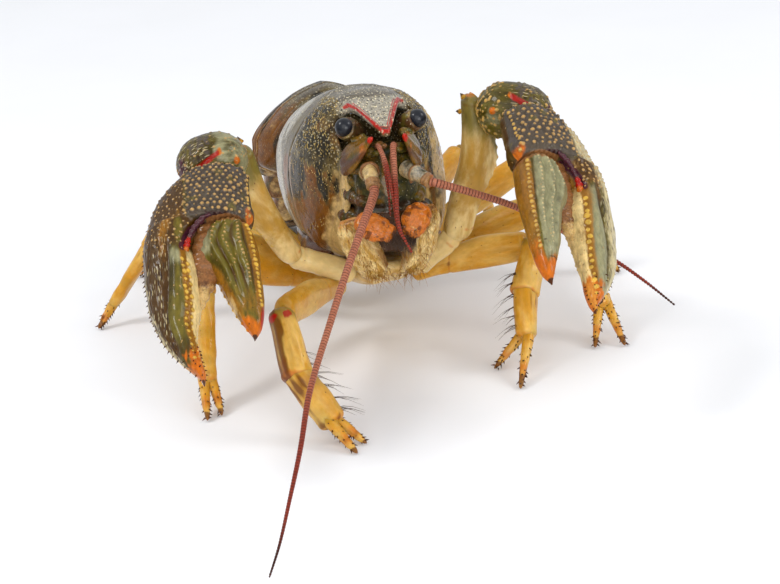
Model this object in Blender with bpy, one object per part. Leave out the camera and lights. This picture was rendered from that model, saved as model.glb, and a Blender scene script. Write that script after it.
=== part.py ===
"""A whole raw freshwater crayfish, standing on its walking legs with both claws held out in front.

Sizes are in millimetres and become metres where each mesh is made. The animal faces -Y, up is +Z, and
the floor is at zero. Left and right are the animal's own, so its right side lies at -X.
"""

import math

import bmesh
import bpy
from mathutils import Matrix, Vector

MM = 0.001
WELD = 1e-7
GAP = 0.3

# Driving dimensions
CARAPACE_LENGTH = 38.0
ROSTRUM_LENGTH = 10.6
ROSTRUM_HALF_WIDTH = 3.9
ROSTRUM_FALL = 0.42
SHELL_EDGE = 0.9
POCKET_DEPTH = 3.4
POCKET_INSET = 2.2
EYE_RADIUS = 1.55
SEGMENT_LENGTHS = (7.0, 7.0, 7.0, 6.6, 6.4, 7.0)
SEGMENT_SLOPES = (13.0, -8.0, -33.0, -54.0, -67.0, -60.0)
BACK_HEIGHT = 9.9
TAIL_FAN_LENGTH = 13.5
TAIL_FAN_SLOPE = math.radians(22.6)
TAIL_FAN_STEP = 1.15

# The middle of the whole animal's box on the floor, which becomes the part's origin
STAND_MIDDLE = Vector((2.28, 13.85, 0.0))

# The body's own frame: its origin is the middle of the shell's front opening, its +Y runs back
BODY_ORIGIN = Vector((0.35, 13.0, 28.5))
BODY_PITCH = math.radians(-8.0)
BODY_YAW = math.radians(-4.0)

# Colours as linear RGB, with roughness
SHELL_OLIVE = (0.115, 0.105, 0.045, 0.35)
CLAW_GREEN = (0.105, 0.130, 0.050, 0.38)
LIMB_CREAM = (0.480, 0.360, 0.130, 0.40)
LEG_AMBER = (0.500, 0.260, 0.050, 0.38)
FACE_DARK = (0.030, 0.035, 0.018, 0.40)
MOUTH_ORANGE = (0.480, 0.170, 0.030, 0.40)
FEELER_RED = (0.250, 0.075, 0.045, 0.45)
EYE_BLACK = (0.006, 0.007, 0.009, 0.12)


def curve_through(knots, at):
    """Value at a place, on a smooth curve through (place, value) knots in rising order."""
    if at <= knots[0][0]:
        return knots[0][1]
    if at >= knots[-1][0]:
        return knots[-1][1]
    last = len(knots) - 1
    i = max(k for k in range(last) if knots[k][0] <= at)
    (x0, y0), (x1, y1) = knots[i], knots[i + 1]

    def slope(k):
        low, high = max(k - 1, 0), min(k + 1, last)
        return (knots[high][1] - knots[low][1]) / (knots[high][0] - knots[low][0])

    t = (at - x0) / (x1 - x0)
    rise = x1 - x0
    return (
        (2 * t**3 - 3 * t**2 + 1) * y0
        + (t**3 - 2 * t**2 + t) * rise * slope(i)
        + (3 * t**2 - 2 * t**3) * y1
        + (t**3 - t**2) * rise * slope(i + 1)
    )


def rounded(along, length, near, far):
    """How much of its full width a piece has at a place, with ends rounded over near and far millimetres."""
    share = 1.0
    if near > 0 and along < near:
        share *= math.sqrt(max(0.0, 1 - (1 - along / near) ** 2))
    if far > 0 and length - along < far:
        share *= math.sqrt(max(0.0, 1 - (1 - (length - along) / far) ** 2))
    return share


def swell(value, power):
    """A cosine or sine made squarer (power under 1) or more pointed."""
    return math.copysign(abs(value) ** power, value)


def material(name, finish):
    found = bpy.data.materials.get(name)
    if found:
        return found
    made = bpy.data.materials.new(name)
    made.use_nodes = True
    shader = made.node_tree.nodes["Principled BSDF"]
    shader.inputs["Base Color"].default_value = (*finish[:3], 1.0)
    shader.inputs["Roughness"].default_value = finish[3]
    return made


def add_object(name, mesh_or_curve, finish, collection="crayfish"):
    mesh_or_curve.materials.append(material(name + "_finish", finish))
    made = bpy.data.objects.new(name, mesh_or_curve)
    bpy.data.collections[collection].objects.link(made)
    made.parent = bpy.data.objects["stand"]
    return made


def skin(name, point, around, along, finish, collection="crayfish"):
    """A closed skin: point(turn, way) gives its place for both from 0 to 1, and open ends are filled."""
    shape = bmesh.new()
    bmesh.ops.create_grid(shape, x_segments=around, y_segments=along, size=0.5)
    for vert in shape.verts:
        vert.co = Vector(point(vert.co.x + 0.5, vert.co.y + 0.5)) * MM
    bmesh.ops.remove_doubles(shape, verts=shape.verts, dist=WELD)
    rims = [edge for edge in shape.edges if edge.is_boundary]
    bmesh.ops.holes_fill(shape, edges=rims, sides=0)
    bmesh.ops.recalc_face_normals(shape, faces=shape.faces)
    mesh = bpy.data.meshes.new(name)
    shape.to_mesh(mesh)
    shape.free()
    mesh.shade_smooth()
    return add_object(name, mesh, finish, collection)


def limb(name, length, half_width, half_height, around, along, finish, ends=(2.0, 2.0), bow=0.0, square=0.85,
         shift=None, collection="crayfish"):
    """A limb piece along +Y: width and height are knots over its length, bow lifts its middle towards +Z."""

    def point(turn, way):
        y = length * (1 - math.cos(math.pi * way)) / 2
        share = rounded(y, length, *ends)
        angle = 2 * math.pi * turn
        x = swell(math.cos(angle), square) * curve_through(half_width, y) * share
        z = swell(math.sin(angle), square) * curve_through(half_height, y) * share
        lift = bow * math.sin(math.pi * y / length)
        aside = curve_through(shift, y) if shift else 0.0
        return x + aside, y, z + lift

    return skin(name, point, around, along, finish, collection)


def lay(made, start, end, back):
    """Places a piece modelled along +Y so that it runs from start to end, its +Z side towards back."""
    y = (Vector(end) - Vector(start)).normalized()
    x = y.cross(Vector(back)).normalized()
    z = x.cross(y)
    made.matrix_basis = Matrix.Translation(Vector(start) * MM) @ Matrix((x, y, z)).transposed().to_4x4()
    return made


def span(start, end):
    return (Vector(end) - Vector(start)).length


def shortened(start, end, near, far):
    """The same run with a bit left off each end."""
    way = (Vector(end) - Vector(start)).normalized()
    return Vector(start) + way * near, Vector(end) - way * far


def join(target, other):
    """Fuses another solid into the target with a Boolean union."""
    other.hide_render = True
    other.display_type = "WIRE"
    union = target.modifiers.new("join_" + other.name, "BOOLEAN")
    union.operation = "UNION"
    union.solver = "EXACT"
    union.object = other


def in_body(made):
    made.matrix_basis = body_matrix() @ made.matrix_basis
    return made


def body_matrix():
    turn = Matrix.Rotation(BODY_YAW, 4, "Z") @ Matrix.Rotation(BODY_PITCH, 4, "X")
    return Matrix.Translation(BODY_ORIGIN * MM) @ turn


# The shell of head and chest, in the body's frame: distance behind the front margin, then the value
SHELL_WIDTH = ((0.0, 6.7), (2.5, 9.0), (5.0, 10.6), (9.0, 11.7), (14.0, 12.0), (22.0, 12.2), (29.0, 11.7),
               (35.0, 10.0), (38.0, 9.0))
SHELL_TOP = ((0.0, 13.4), (5.0, 13.7), (10.0, 14.0), (16.0, 13.7), (24.0, 12.5), (31.0, 11.0), (38.0, 9.7))
SHELL_UNDER = ((0.0, 10.4), (4.0, 11.3), (12.0, 12.3), (30.0, 11.6), (38.0, 10.0))


def shell_section(y, turn, inset=0.0):
    """A point of the shell's outline y behind the front margin, squarer towards it; turn 0.25 is the top."""
    angle = 2 * math.pi * turn
    half = curve_through(SHELL_WIDTH, y) - inset
    side, rise = math.cos(angle), math.sin(angle)
    round_share = min(1.0, y / 12.0)
    if rise >= 0:
        above = curve_through(SHELL_TOP, y) - inset
        return half * swell(side, 0.48 + 0.44 * round_share), above * swell(rise, 0.92)
    below = curve_through(SHELL_UNDER, y) - inset
    flare = 1 - 0.14 * rise * (1 - round_share)
    return half * flare * swell(side, 0.38 + 0.16 * round_share), below * swell(rise, 0.95)


def margin(turn):
    """How far behind the front margin the shell's edge lies at this turn, leaving out the rostrum."""
    rise = math.sin(2 * math.pi * turn)
    eye_socket = 2.4 * math.exp(-(((math.acos(rise) - 0.72) / 0.27) ** 2))
    cheek = -1.4 * math.exp(-(((rise + 0.05) / 0.45) ** 2))
    under = 4.0 * max(0.0, -rise - 0.45) ** 1.2
    return eye_socket + cheek + under


def shell_turn(turn):
    """Spreads the lines round the shell so that more of them run along the rostrum."""
    return turn - 0.045 * math.sin(4 * math.pi * (turn - 0.25)) * (1 if 0 < turn < 0.5 else 0)


def shell_rim(turn):
    """The shell's front edge, drawn out into the rostrum at the top."""
    x, z = shell_section(0.0, turn)
    if math.sin(2 * math.pi * turn) > 0 and abs(x) < ROSTRUM_HALF_WIDTH:
        y = -ROSTRUM_LENGTH * (1 - (abs(x) / ROSTRUM_HALF_WIDTH) ** 1.15)
        return x, y, z + ROSTRUM_FALL * y
    y = margin(turn)
    return shell_point(max(y, 0.0), turn, y)


def shell_point(y, turn, place):
    x, z = shell_section(y, turn)
    return x, place, z


def make_carapace(around=40):
    front_rings, back_rings, inner_rings = 6, 9, 3
    rings = front_rings + back_rings + inner_rings
    joint = 8.0

    def point(turn, way):
        turn = shell_turn(turn)
        ring = way * rings
        x0, y0, z0 = shell_rim(turn)
        if ring <= inner_rings:
            share = ring / inner_rings
            back = (1 - share) ** 1.5
            thin = SHELL_EDGE if share < 0.999 else 0.0
            size = math.hypot(x0, z0)
            xe, ze = x0 - x0 / size * thin, z0 - z0 / size * thin
            x1, z1 = shell_section(POCKET_DEPTH, turn, POCKET_INSET)
            return xe + (x1 - xe) * back, y0 + (POCKET_DEPTH - y0) * back, ze + (z1 - ze) * back
        if ring <= inner_rings + front_rings:
            y = y0 + (joint - y0) * (ring - inner_rings) / front_rings
            if y >= 0:
                return shell_point(y, turn, y)
            return x0, y, z0 - (ROSTRUM_FALL * (y0 - y) if y0 < -1.5 else 0.0)
        y = joint + (CARAPACE_LENGTH - joint) * (ring - inner_rings - front_rings) / back_rings
        return shell_point(y, turn, y)

    in_body(skin("carapace", point, around, rings, SHELL_OLIVE))


# The solid front of the head in the body's frame: place along the body, then the value
HEAD_WIDTH = ((-6.0, 4.2), (-3.5, 5.0), (0.0, 5.4), (3.0, 5.9))
HEAD_TOP = ((-6.0, 4.4), (-3.0, 6.0), (3.0, 6.4))
HEAD_UNDER = ((-6.0, 9.6), (-1.4, 10.3), (0.4, 8.9), (3.0, 7.3))


def make_head():
    """What fills the shell's opening: the plates under the eyes, the upper lip and the jaws."""
    front, length = HEAD_WIDTH[0][0], HEAD_WIDTH[-1][0] - HEAD_WIDTH[0][0]

    def point(turn, way):
        y = front + length * (1 - math.cos(0.5 * math.pi * way))
        share = rounded(y - front, length, 2.2, 0.0)
        angle = 2 * math.pi * turn
        x = curve_through(HEAD_WIDTH, y) * swell(math.cos(angle), 0.6) * share
        reach = curve_through(HEAD_TOP if math.sin(angle) > 0 else HEAD_UNDER, y)
        z = reach * swell(math.sin(angle), 0.75)
        return x, y, -2.0 + (z + 2.0) * share

    in_body(skin("head", point, 20, 8, FACE_DARK))


def make_chest():
    """The underside that carries the legs and the mouth legs, below the shell."""
    length = 37.0
    width = ((0.0, 2.6), (7.0, 3.6), (12.0, 5.0), (24.0, 6.2), (37.0, 4.2))
    height = ((0.0, 1.1), (5.0, 1.5), (9.0, 2.0), (14.0, 2.6), (24.0, 2.6), (37.0, 1.9))
    made = limb("chest", length, width, height, 14, 10, LIMB_CREAM, ends=(1.2, 3.0), bow=-2.3)
    in_body(lay(made, (0.0, -4.6, -12.6), (0.0, 32.4, -13.4), (0, 0, 1)))


def make_eyes():
    for side, hand in (("right", -1), ("left", 1)):
        eye = Vector((5.7 * hand - 0.05, -4.2, 10.0))
        root = Vector((2.6 * hand, -1.0, 8.0))
        outward = (eye - root).normalized()
        stalk_end = eye - outward * (EYE_RADIUS + 0.15)
        stalk = limb("eyestalk_" + side, span(root, stalk_end), ((0.0, 1.1), (2.0, 1.25), (9.0, 1.35)),
                     ((0.0, 1.0), (2.0, 1.2), (9.0, 1.3)), 10, 4, FACE_DARK, ends=(1.0, 0.0))
        in_body(lay(stalk, root, stalk_end, (0, 0, 1)))
        shape = bmesh.new()
        bmesh.ops.create_uvsphere(shape, u_segments=14, v_segments=9, radius=EYE_RADIUS * MM)
        mesh = bpy.data.meshes.new("eye_" + side)
        shape.to_mesh(mesh)
        shape.free()
        mesh.shade_smooth()
        ball = add_object("eye_" + side, mesh, EYE_BLACK)
        in_body(ball)
        ball.matrix_basis = ball.matrix_basis @ Matrix.Translation(eye * MM)


def make_scales():
    """The flat plate outside the foot of each antenna, ending in a point beside the rostrum."""
    for side, hand in (("right", -1), ("left", 1)):
        start, end = Vector((4.8 * hand, -5.2, 5.6)), Vector((3.2 * hand, -10.8, 8.9))
        length = span(start, end)
        made = limb("antennal_scale_" + side, length, ((0.0, 1.3), (3.0, 1.9), (length, 0.3)),
                    ((0.0, 0.8), (length, 0.35)), 10, 5, SHELL_OLIVE, ends=(1.0, 0.8))
        in_body(lay(made, start, end, (0.9 * hand, -0.4, 1.0)))


def tube(name, path, radii, finish, sides=2):
    """A round tapering tube through points, its radius read between radii along it."""
    curve = bpy.data.curves.new(name, "CURVE")
    curve.dimensions = "3D"
    curve.bevel_depth = MM
    curve.bevel_resolution = sides
    curve.use_fill_caps = True
    line = curve.splines.new("POLY")
    line.points.add(len(path) - 1)
    for i, place in enumerate(path):
        line.points[i].co = (*(Vector(place) * MM), 1.0)
        line.points[i].radius = curve_through(radii, i / (len(path) - 1))
    return add_object(name, curve, finish)


def smooth_path(knots, steps):
    """Points on a smooth curve through a few places."""
    marks = [0.0]
    for a, b in zip(knots, knots[1:]):
        marks.append(marks[-1] + span(a, b))
    axes = [[(m, k[axis]) for m, k in zip(marks, knots)] for axis in range(3)]
    return [[curve_through(axis, marks[-1] * i / steps) for axis in axes] for i in range(steps + 1)]


# The two long antennae: the bend at the foot of each, then the route of its whip
ANTENNA_FOOT = {
    "right": ((-3.4, 7.2, 32.4), (-3.9, 3.8, 33.5), (-4.1, 1.2, 31.9)),
    "left": ((2.6, 7.3, 32.2), (3.8, 4.6, 31.8), (5.0, 2.3, 31.1)),
}
ANTENNA_ROUTE = {
    "right": ((-4.3, 0.3, 31.3), (-8.4, -6.1, 28.0), (-13.0, -13.2, 24.1), (-17.5, -20.5, 20.1),
              (-23.6, -31.1, 14.9), (-27.6, -40.2, 10.7), (-31.2, -47.8, 7.4), (-34.4, -54.5, 4.7),
              (-37.1, -59.5, 2.9)),
    "left": ((5.9, 1.7, 30.9), (11.2, 1.3, 28.7), (18.0, 1.2, 25.4), (25.0, 1.0, 20.7), (33.6, -0.3, 14.5),
             (37.8, -1.6, 10.9), (42.0, -3.2, 6.8)),
}
ANTENNA_FOOT_TAPER = ((0.0, 1.5), (0.5, 1.35), (1.0, 1.0))
ANTENNA_TAPER = ((0.0, 0.80), (0.15, 0.68), (0.5, 0.48), (0.85, 0.24), (1.0, 0.12))


def make_antennae():
    for side in ("right", "left"):
        foot = ANTENNA_FOOT[side]
        tube("antenna_base_" + side, smooth_path(foot, 5), ANTENNA_FOOT_TAPER, LIMB_CREAM, sides=3)
        tube("antenna_" + side, smooth_path(ANTENNA_ROUTE[side], 20), ANTENNA_TAPER, FEELER_RED)


# The small paired feelers between the eyes
FEELER_ROUTE = {
    "right_outer": ((-1.2, 8.6, 35.4), (-1.9, 5.0, 36.9), (-2.4, 0.6, 35.2), (-3.2, -2.9, 32.2),
                    (-4.0, -5.6, 29.0)),
    "right_inner": ((-0.5, 8.0, 33.8), (-1.7, 5.3, 35.3), (-2.2, 2.4, 33.4), (-2.9, 0.0, 30.6),
                    (-3.4, -1.6, 28.0)),
    "left_outer": ((1.7, 8.6, 35.2), (0.2, 4.4, 36.9), (-0.9, 0.6, 34.9), (-1.8, -2.6, 32.3),
                   (-2.9, -7.2, 28.0), (-2.1, -10.4, 24.8)),
    "left_inner": ((1.2, 8.0, 33.6), (0.1, 5.2, 35.2), (-0.9, 1.4, 33.4), (-1.8, -1.6, 30.2),
                   (-2.4, -5.0, 26.8), (-1.4, -7.0, 24.4)),
}
FEELER_TAPER = ((0.0, 0.7), (0.3, 0.6), (0.6, 0.5), (1.0, 0.2))


def make_feelers():
    for name, route in FEELER_ROUTE.items():
        tube("antennule_" + name, smooth_path(route, 10), FEELER_TAPER, FEELER_RED)


# The third pair of mouth legs in the body's frame: foot and elbow of the plate, then knee and tip of the palp
MOUTH = {
    "right": ((-3.0, -7.1, -13.2), (-7.4, -8.0, -3.4), (-6.5, -10.4, -3.4), (-1.1, -12.7, -6.0)),
    "left": ((1.7, -7.1, -13.2), (5.3, -8.0, -2.6), (4.6, -10.2, -2.4), (1.3, -12.5, -6.9)),
}


def make_mouth():
    """The third pair of mouth legs, folded over the jaws: a broad cream plate and an orange end each."""
    for side, hand in (("right", -1), ("left", 1)):
        foot, elbow, knee, tip = (Vector(place) for place in MOUTH[side])
        length = span(foot, elbow)
        plate = limb("mouth_plate_" + side, length, ((0.0, 1.7), (4.0, 2.6), (length, 2.3)),
                     ((0.0, 1.2), (4.0, 1.3), (length, 1.2)), 12, 6, LIMB_CREAM, ends=(1.5, 1.5), bow=0.6)
        in_body(lay(plate, foot, elbow, (0.6 * hand, -1.0, 0)))
        length = span(knee, tip)
        palp = limb("mouth_palp_" + side, length, ((0.0, 1.4), (3.0, 1.6), (length, 0.8)),
                    ((0.0, 1.2), (3.0, 1.2), (length, 0.6)), 10, 5, MOUTH_ORANGE, ends=(1.4, 0.8), bow=0.3)
        in_body(lay(palp, knee, tip, (0, -1.0, 0.4)))


# The abdomen: half width, height above and below its middle line, at the front of each segment
RING_WIDTH = (9.8, 10.8, 11.0, 10.6, 9.8, 8.8, 7.4)
RING_ABOVE = (8.2, 8.6, 8.6, 8.2, 7.6, 6.8, 5.6)
RING_BELOW = (6.6, 7.2, 7.4, 7.0, 6.4, 5.2, 3.6)


def abdomen_line():
    """Where each segment's front edge stands on the back line, and its slope, seen from the side."""
    y, z = CARAPACE_LENGTH + 0.6, BACK_HEIGHT
    stands = [(y, z, math.radians(SEGMENT_SLOPES[0]))]
    for i, length in enumerate(SEGMENT_LENGTHS):
        slope = math.radians(SEGMENT_SLOPES[i])
        y, z = y + length * math.cos(slope), z + length * math.sin(slope)
        following = math.radians(SEGMENT_SLOPES[min(i + 1, 5)])
        stands.append((y, z, (slope + following) / 2))
    return stands


def make_abdomen():
    stands = abdomen_line()
    for i, length in enumerate(SEGMENT_LENGTHS):
        def point(turn, way, i=i, length=length):
            y0, z0, slope0 = stands[i]
            y1, z1, slope1 = stands[i + 1]
            trim = GAP / 2 / length
            share = trim + (1 - 2 * trim) * way
            slope = slope0 + (slope1 - slope0) * share
            y, z = y0 + (y1 - y0) * share, z0 + (z1 - z0) * share
            belly = 1 + 0.05 * math.sin(math.pi * share) - (0.06 if way < 0.01 else 0)
            half = (RING_WIDTH[i] + (RING_WIDTH[i + 1] - RING_WIDTH[i]) * share) * belly
            above = RING_ABOVE[i] + (RING_ABOVE[i + 1] - RING_ABOVE[i]) * share
            below = RING_BELOW[i] + (RING_BELOW[i + 1] - RING_BELOW[i]) * share
            angle = 2 * math.pi * turn
            side, rise = math.cos(angle), math.sin(angle)
            x = half * swell(side, 1.55 if rise > 0 else 0.6)
            up = above * swell(rise, 0.95) * (belly if rise > 0 else 1.0)
            if rise < 0:
                up = -below * abs(rise) ** 0.45 * (0.55 + 0.45 * min(1.0, abs(side) * 1.3) ** 2)
            middle = above
            return x, y - (up - middle) * math.sin(slope), z + (up - middle) * math.cos(slope)

        in_body(skin(f"abdomen_{i + 1}", point, 22, 5, SHELL_OLIVE))


# The plates of the tail fan: place beside the middle, spread in degrees, half width, layer below the telson
FAN_PLATES = {
    "telson": (0.0, 0.0, 3.6, 0),
    "tail_inner": (3.2, 22.0, 3.5, 1),
    "tail_outer": (4.2, 48.0, 3.9, 2),
}


def make_tail_fan():
    """The middle plate and the two broad plates each side of it, spread in one plane down to the floor."""
    y, z, slope = abdomen_line()[-1]
    middle = Vector((0, y + math.sin(slope) * RING_ABOVE[-1], z - math.cos(slope) * RING_ABOVE[-1]))
    hinge = body_matrix() @ (middle * MM) / MM
    across = body_matrix().to_3x3() @ Vector((1, 0, 0))
    rear = Matrix.Rotation(-TAIL_FAN_SLOPE, 3, across) @ Vector((-across.y, across.x, 0)).normalized()
    under = rear.cross(across)
    for name, (aside, spread, half, layer) in FAN_PLATES.items():
        hands = ((0, ""),) if name == "telson" else ((-1, "_right"), (1, "_left"))
        for hand, tail in hands:
            turn = math.radians(spread) * hand
            way = rear * math.cos(turn) + across * math.sin(turn)
            start = hinge + across * (aside * hand) + way * 1.3 + under * (TAIL_FAN_STEP * layer)
            length = TAIL_FAN_LENGTH
            width = ((0.0, half * 0.6), (length * 0.35, half * 0.95), (length * 0.75, half),
                     (length, half * 0.8))
            made = limb(name + tail, length, width, ((0.0, 0.5), (length, 0.38)), 16, 7, SHELL_OLIVE,
                        ends=(1.2, 3.2))
            lay(made, start, start + way * length, -under)


# The joints of each claw arm: shoulder, elbow and the top of the merus; then both ends of the carpus
ARM = {
    "right": ((-4.3, 16.2, 13.3), (-14.4, 14.6, 18.3), (-21.0, 12.9, 37.2), (-21.2, 10.0, 37.4),
              (-32.0, 8.9, 36.3)),
    "left": ((5.7, 15.4, 13.0), (11.6, 12.6, 18.4), (14.8, 13.6, 40.2), (15.8, 10.7, 39.4),
             (26.2, 5.8, 37.4)),
}
# The merus, over its length from elbow to top: how far it bows outward and its half width across, then its
# half depth towards the front
MERUS = {
    "right": ((0.0, -0.9, -1.8, -0.3), (1.9, 2.1, 2.5, 1.3), 3.0),
    "left": ((0.0, 1.2, 3.0, 0.4), (2.3, 2.5, 3.1, 1.3), 2.8),
}
MERUS_PLACES = (0.0, 0.3, 0.6, 1.0)
# The middle line of each claw from wrist to tips, its roll in degrees, its breadth against the outline's, and
# how far its movable finger is drawn out
CLAW = {
    "right": ((-26.9, 3.8, 36.9), (-33.6, -26.7, 19.2), 0.0, 1.0, 1.0),
    "left": ((20.6, 3.2, 39.4), (15.8, -29.4, 20.9), 38.0, 0.93, 1.15),
}
TO_VIEWER = Vector((-0.243, -0.908, 0.342))

# The claw's outline in its own plane, as distance from the wrist and distance outward of its middle line
CLAW_OUTER = ((0.0, 4.2), (2.0, 6.0), (5.3, 8.7), (9.0, 10.2), (13.0, 10.9), (18.0, 11.2), (24.0, 10.8),
              (28.0, 10.1), (31.7, 8.7), (34.5, 6.9), (37.5, 4.4), (39.5, 3.5))
CLAW_INNER = ((0.0, -3.9), (2.0, -4.3), (6.0, -4.5), (9.0, -4.4), (9.5, 2.0), (15.5, 4.5), (20.0, 4.3),
              (28.0, 4.0), (32.0, 3.1), (36.0, 2.7), (39.5, 3.4))
CLAW_THICK = ((0.0, 2.9), (3.0, 3.8), (10.0, 4.3), (16.0, 4.0), (24.0, 3.1), (32.0, 2.1), (39.5, 0.6))
FINGER_OUTER = ((9.9, 1.6), (13.0, 2.3), (17.0, 1.8), (20.4, 0.5), (24.2, 0.0), (28.0, -1.5), (31.0, -3.0),
                (32.8, -3.7))
FINGER_INNER = ((9.9, -4.0), (13.0, -4.8), (17.0, -5.2), (24.0, -5.3), (28.0, -5.3), (31.0, -4.7),
                (32.8, -3.8))
FINGER_THICK = ((9.9, 3.0), (14.0, 2.9), (22.0, 2.4), (28.0, 1.7), (32.8, 0.4))


def outline_piece(name, outer, inner, thick, breadth, around, stations, stretch, ends):
    """A solid between two outlines in the claw's plane, rounded through its thickness."""
    first, last = outer[0][0], outer[-1][0]

    def point(turn, way):
        y = stations[round(way * (len(stations) - 1))]
        share = rounded(y - first, last - first, *ends)
        high, low = curve_through(outer, y), curve_through(inner, y)
        angle = 2 * math.pi * turn
        x = (high + low) / 2 + (high - low) / 2 * swell(math.cos(angle), 0.9) * share
        drawn = first + (y - first) * stretch
        return x * breadth, drawn, curve_through(thick, y) * swell(math.sin(angle), 0.9) * share

    return skin(name, point, around, len(stations) - 1, CLAW_GREEN)


def claw_back(side):
    """The direction that the claw's upper face looks in."""
    wrist, end, roll = CLAW[side][:3]
    way = (Vector(end) - Vector(wrist)).normalized()
    face = (TO_VIEWER - way * TO_VIEWER.dot(way)).normalized()
    outward = way.cross(face).normalized() * (1 if side == "right" else -1)
    return face * math.cos(math.radians(roll)) + outward * math.sin(math.radians(roll))


PALM_STATIONS = (0.0, 0.6, 2.0, 4.5, 7.0, 9.0, 9.5, 12.5, 15.5, 20.0, 25.0, 29.0, 32.0, 34.5, 37.0, 38.8,
                 39.5)
FINGER_STATIONS = (9.9, 10.4, 12.0, 14.5, 17.5, 21.0, 25.0, 28.5, 31.0, 32.3, 32.8)


def make_claw_arms():
    for side in ("right", "left"):
        shoulder, elbow, top, near_end, far_end = ARM[side]
        bows, halves, deep = MERUS[side]
        run = shortened(shoulder, elbow, 0.0, GAP)
        length = span(*run)
        piece = limb("claw_ischium_" + side, length, ((0.0, 1.7), (length, 2.0)),
                     ((0.0, 1.6), (length, 1.9)), 12, 6, LIMB_CREAM, ends=(1.0, 0.6), bow=0.3)
        lay(piece, *run, (0, -1, 1))
        run = shortened(elbow, top, GAP / 2, 1.0)
        length = span(*run)
        places = [length * share for share in MERUS_PLACES]
        piece = limb("claw_merus_" + side, length, list(zip(places, halves)),
                     ((0.0, deep * 0.75), (length * 0.55, deep), (length, deep * 0.6)), 14, 9, LIMB_CREAM,
                     ends=(0.6, 1.5), shift=list(zip(places, bows)))
        lay(piece, *run, (0, -1, 0.2))
        length = span(near_end, far_end)
        piece = limb("claw_carpus_" + side, length, ((0.0, 3.6), (length * 0.5, 4.0), (length, 3.6)),
                     ((0.0, 3.6), (length * 0.5, 4.2), (length, 3.4)), 18, 9, CLAW_GREEN, ends=(4.0, 4.4))
        lay(piece, near_end, far_end, (0, -0.3, 1))
        wrist, end, _, breadth, stretch = CLAW[side]
        breadth *= 1 if side == "right" else -1
        piece = outline_piece("claw_palm_" + side, CLAW_OUTER, CLAW_INNER, CLAW_THICK, breadth, 20,
                              PALM_STATIONS, 1.0, (2.2, 3.0))
        lay(piece, wrist, end, claw_back(side))
        piece = outline_piece("claw_finger_" + side, FINGER_OUTER, FINGER_INNER, FINGER_THICK, breadth, 16,
                              FINGER_STATIONS, stretch, (1.5, 2.5))
        lay(piece, wrist, end, claw_back(side))


# The joints of each walking leg: hip, knee, ankle, the fork of its small claw, and the tips of its fingers
LEG = {
    "2_right": ((-5.4, 22.0, 9.8), (-20.9, -3.7, 16.1), (-20.8, -10.8, 9.2), (-17.3, -16.1, 3.3),
                (-13.3, -19.6, 0.3), (-15.5, -22.4, 0.3)),
    "2_left": ((6.7, 21.6, 10.2), (23.6, 8.7, 16.4), (19.6, 3.3, 10.8), (18.1, -0.6, 5.2),
               (12.7, -0.5, 0.3), (13.7, -9.7, 0.3)),
    "3_right": ((-6.4, 26.4, 10.2), (-26.8, 17.7, 22.1), (-28.9, 13.6, 15.5), (-31.4, 4.7, 4.6),
                (-33.0, -1.3, 0.3), (-30.6, -0.4, 0.3)),
    "3_left": ((7.9, 26.2, 10.2), (33.3, 18.5, 20.0), (32.9, 12.7, 13.3), (33.6, 6.2, 5.2),
               (30.0, 0.9, 0.3), (34.6, -0.3, 0.3)),
    "4_right": ((-6.6, 31.4, 10.0), (-28.8, 44.5, 18.6), (-31.7, 45.5, 13.4), (-38.7, 47.0, 3.7),
                (-42.0, 45.3, 0.3)),
    "4_left": ((8.2, 31.4, 10.0), (33.6, 38.4, 20.6), (39.3, 37.2, 13.0), (44.4, 34.4, 4.2),
               (46.5, 31.6, 0.3)),
    "5_right": ((-5.6, 36.6, 9.6), (-22.0, 55.0, 19.5), (-26.0, 60.5, 11.6), (-29.0, 66.0, 3.6),
                (-31.0, 69.0, 0.3)),
    "5_left": ((7.4, 36.6, 9.6), (26.0, 53.5, 19.5), (30.5, 58.5, 11.6), (34.0, 63.5, 3.6),
               (36.0, 66.5, 0.3)),
}
# Half widths of the lower leg at the knee, at the ankle and before the fork
LEG_HALF = {"2": (1.9, 2.4, 2.1), "3": (1.5, 1.8, 1.7), "4": (1.4, 1.7, 1.2), "5": (1.3, 1.4, 1.1)}


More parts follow.
